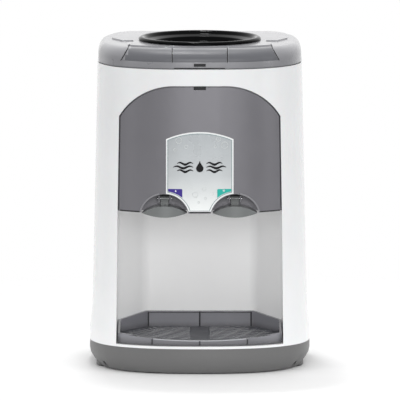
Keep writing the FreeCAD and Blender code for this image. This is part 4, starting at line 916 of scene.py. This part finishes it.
# ---- what is inside or behind -------------------------------------------------------------
class DISPENSER_OT_inner_parts(bpy.types.Operator):
    """Give each valve spring a welded copy with a mesh of its own, and give every remaining CAD part the
    finish of its slot
    """
    bl_idname = "dispenser.inner_parts"
    bl_label = "Inner parts"

    def execute(self, context):
        for side in ("left", "right"):
            spring = shell_of("valve_spring_" + side)
            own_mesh(spring)
        for name, part in frame["nodes"].items():
            if part.hide_render:
                continue
            part.data.materials.clear()
            part.data.materials.append(finish_of(NODE_SLOTS[name]))
        return {"FINISHED"}


# ---- stage --------------------------------------------------------------------------------
CAMERA_DISTANCE = 12.0
CAMERA_ELEVATION = 7.03
CAMERA_TARGET = Vector((0.0003, SEAT_AXIS.y, 0.2127))
VIEW_WIDTH = 0.520
SENSOR_WIDTH = 36.0
FLOOR_RADIUS = 1.6


def softbox(name, place, target, width, height, power):
    """A soft area light aimed at a point."""
    data = bpy.data.lights.new(name, "AREA")
    data.shape = "RECTANGLE"
    data.size = width
    data.size_y = height
    data.energy = power
    made = bpy.data.objects.new(name, data)
    made.location = place
    made.rotation_euler = (Vector(target) - Vector(place)).to_track_quat("-Z", "Y").to_euler()
    bpy.context.scene.collection.objects.link(made)
    return made


def floor_paper():
    # Seamless background paper: pale and matt, with a faint fibre mottle.
    made, tree, place = new_material("floor_paper_white")
    reach = node(tree, "ShaderNodeVectorMath", {0: place}, operation="LENGTH")
    fade = ramp(tree, reach.outputs["Value"], (0.25, 0.9), (1.0, 0.0), interpolation_type="SMOOTHSTEP")
    shader = node(tree, "ShaderNodeBsdfPrincipled",
                  {"Base Color": shaded(tree, place, linear("#fafafa"), 40, 0.01), "Roughness": 0.85,
                   "Alpha": fade})
    return finish_material(made, shader)


def studio_world():
    """A white studio: bright above and behind, darker under, plain white to the camera."""
    world = bpy.data.worlds.new("studio")
    world.use_nodes = True
    tree = world.node_tree
    tree.nodes.clear()
    way = node(tree, "ShaderNodeSeparateXYZ",
               {"Vector": node(tree, "ShaderNodeTexCoord").outputs["Generated"]})
    above = ramp(tree, way.outputs["Z"], (-0.25, 0.55), (0.3, 0.85))
    behind = ramp(tree, way.outputs["Y"], (0.2, 0.9), (0.0, 0.6))
    level = node(tree, "ShaderNodeMath", {0: above, 1: behind}, operation="ADD")
    seen = node(tree, "ShaderNodeLightPath").outputs["Is Camera Ray"]
    strength = node(tree, "ShaderNodeMix", {0: seen, 2: level.outputs[0], 3: 1.0}, data_type="FLOAT")
    light = node(tree, "ShaderNodeBackground",
                 {"Color": (1.0, 1.0, 1.0, 1.0), "Strength": strength.outputs[0]})
    node(tree, "ShaderNodeOutputWorld", {"Surface": light.outputs[0]})
    return world


class DISPENSER_OT_stage(bpy.types.Operator):
    """Make the pale floor, the soft lights and the camera"""
    bl_idname = "dispenser.stage"
    bl_label = "Stage"

    def execute(self, context):
        scene = context.scene
        scene.view_settings.view_transform = "Standard"
        self.floor(scene)
        scene.world = studio_world()
        aim = (0.0, 0.0, 0.22)
        softbox("soft_front", (0.25, -3.2, 0.9), aim, 1.8, 1.2, 31.0)
        softbox("soft_left", (-2.2, -1.2, 1.0), aim, 0.8, 1.6, 4.5)
        softbox("soft_right", (2.2, -1.1, 1.0), aim, 0.8, 1.6, 6.5)
        softbox("soft_top", (-0.1, 0.5, 1.9), aim, 0.2, 0.08, 6.0)
        self.camera(scene)
        return {"FINISHED"}

    def floor(self, scene):
        """A round sheet of paper that fades out before its edge."""
        bm = bmesh.new()
        bmesh.ops.create_circle(bm, cap_ends=True, segments=96, radius=FLOOR_RADIUS)
        mesh = bpy.data.meshes.new("floor")
        bm.to_mesh(mesh)
        bm.free()
        floor = bpy.data.objects.new("floor", mesh)
        scene.collection.objects.link(floor)
        mesh.materials.append(floor_paper())

    def camera(self, scene):
        """A long lens a little above the object, aimed at its middle."""
        lean = math.radians(CAMERA_ELEVATION)
        back = Vector((0.0, -math.cos(lean), math.sin(lean)))
        data = bpy.data.cameras.new("camera")
        data.sensor_width = SENSOR_WIDTH
        data.lens = SENSOR_WIDTH * CAMERA_DISTANCE / VIEW_WIDTH
        data.clip_start = 0.5
        data.clip_end = 60.0
        camera = bpy.data.objects.new("camera", data)
        camera.location = CAMERA_TARGET + back * CAMERA_DISTANCE
        camera.rotation_euler = (-back).to_track_quat("-Z", "Y").to_euler()
        scene.collection.objects.link(camera)
        scene.camera = camera


class DISPENSER_PT_panel(bpy.types.Panel):
    bl_label = "Water dispenser"
    bl_idname = "DISPENSER_PT_panel"
    bl_space_type = "VIEW_3D"
    bl_region_type = "UI"
    bl_category = "Dispenser"

    def draw(self, context):
        layout = self.layout
        for operator in OPERATORS:
            layout.operator(operator.bl_idname)
        for group in (context.scene.dispenser_sizes, context.scene.dispenser_colours):
            box = layout.box()
            for key in group.__annotations__:
                box.prop(group, key)


OPERATORS = (DISPENSER_OT_stage, DISPENSER_OT_shells, DISPENSER_OT_panel_trim, DISPENSER_OT_badge,
             DISPENSER_OT_bottle_seat, DISPENSER_OT_levers, DISPENSER_OT_tray, DISPENSER_OT_inner_parts)
CLASSES = (DispenserSizes, DispenserColours) + OPERATORS + (DISPENSER_PT_panel,)


def register():
    for cls in CLASSES:
        bpy.utils.register_class(cls)
    bpy.types.Scene.dispenser_sizes = bpy.props.PointerProperty(type=DispenserSizes)
    bpy.types.Scene.dispenser_colours = bpy.props.PointerProperty(type=DispenserColours)


def unregister():
    del bpy.types.Scene.dispenser_colours
    del bpy.types.Scene.dispenser_sizes
    for cls in reversed(CLASSES):
        bpy.utils.unregister_class(cls)


def main():
    register()
    FINISHES.update(slot_materials(colours()))
    for operator in OPERATORS:
        group, name = operator.bl_idname.split(".")
        getattr(getattr(bpy.ops, group), name)()


if __name__ == "__main__":
    main()
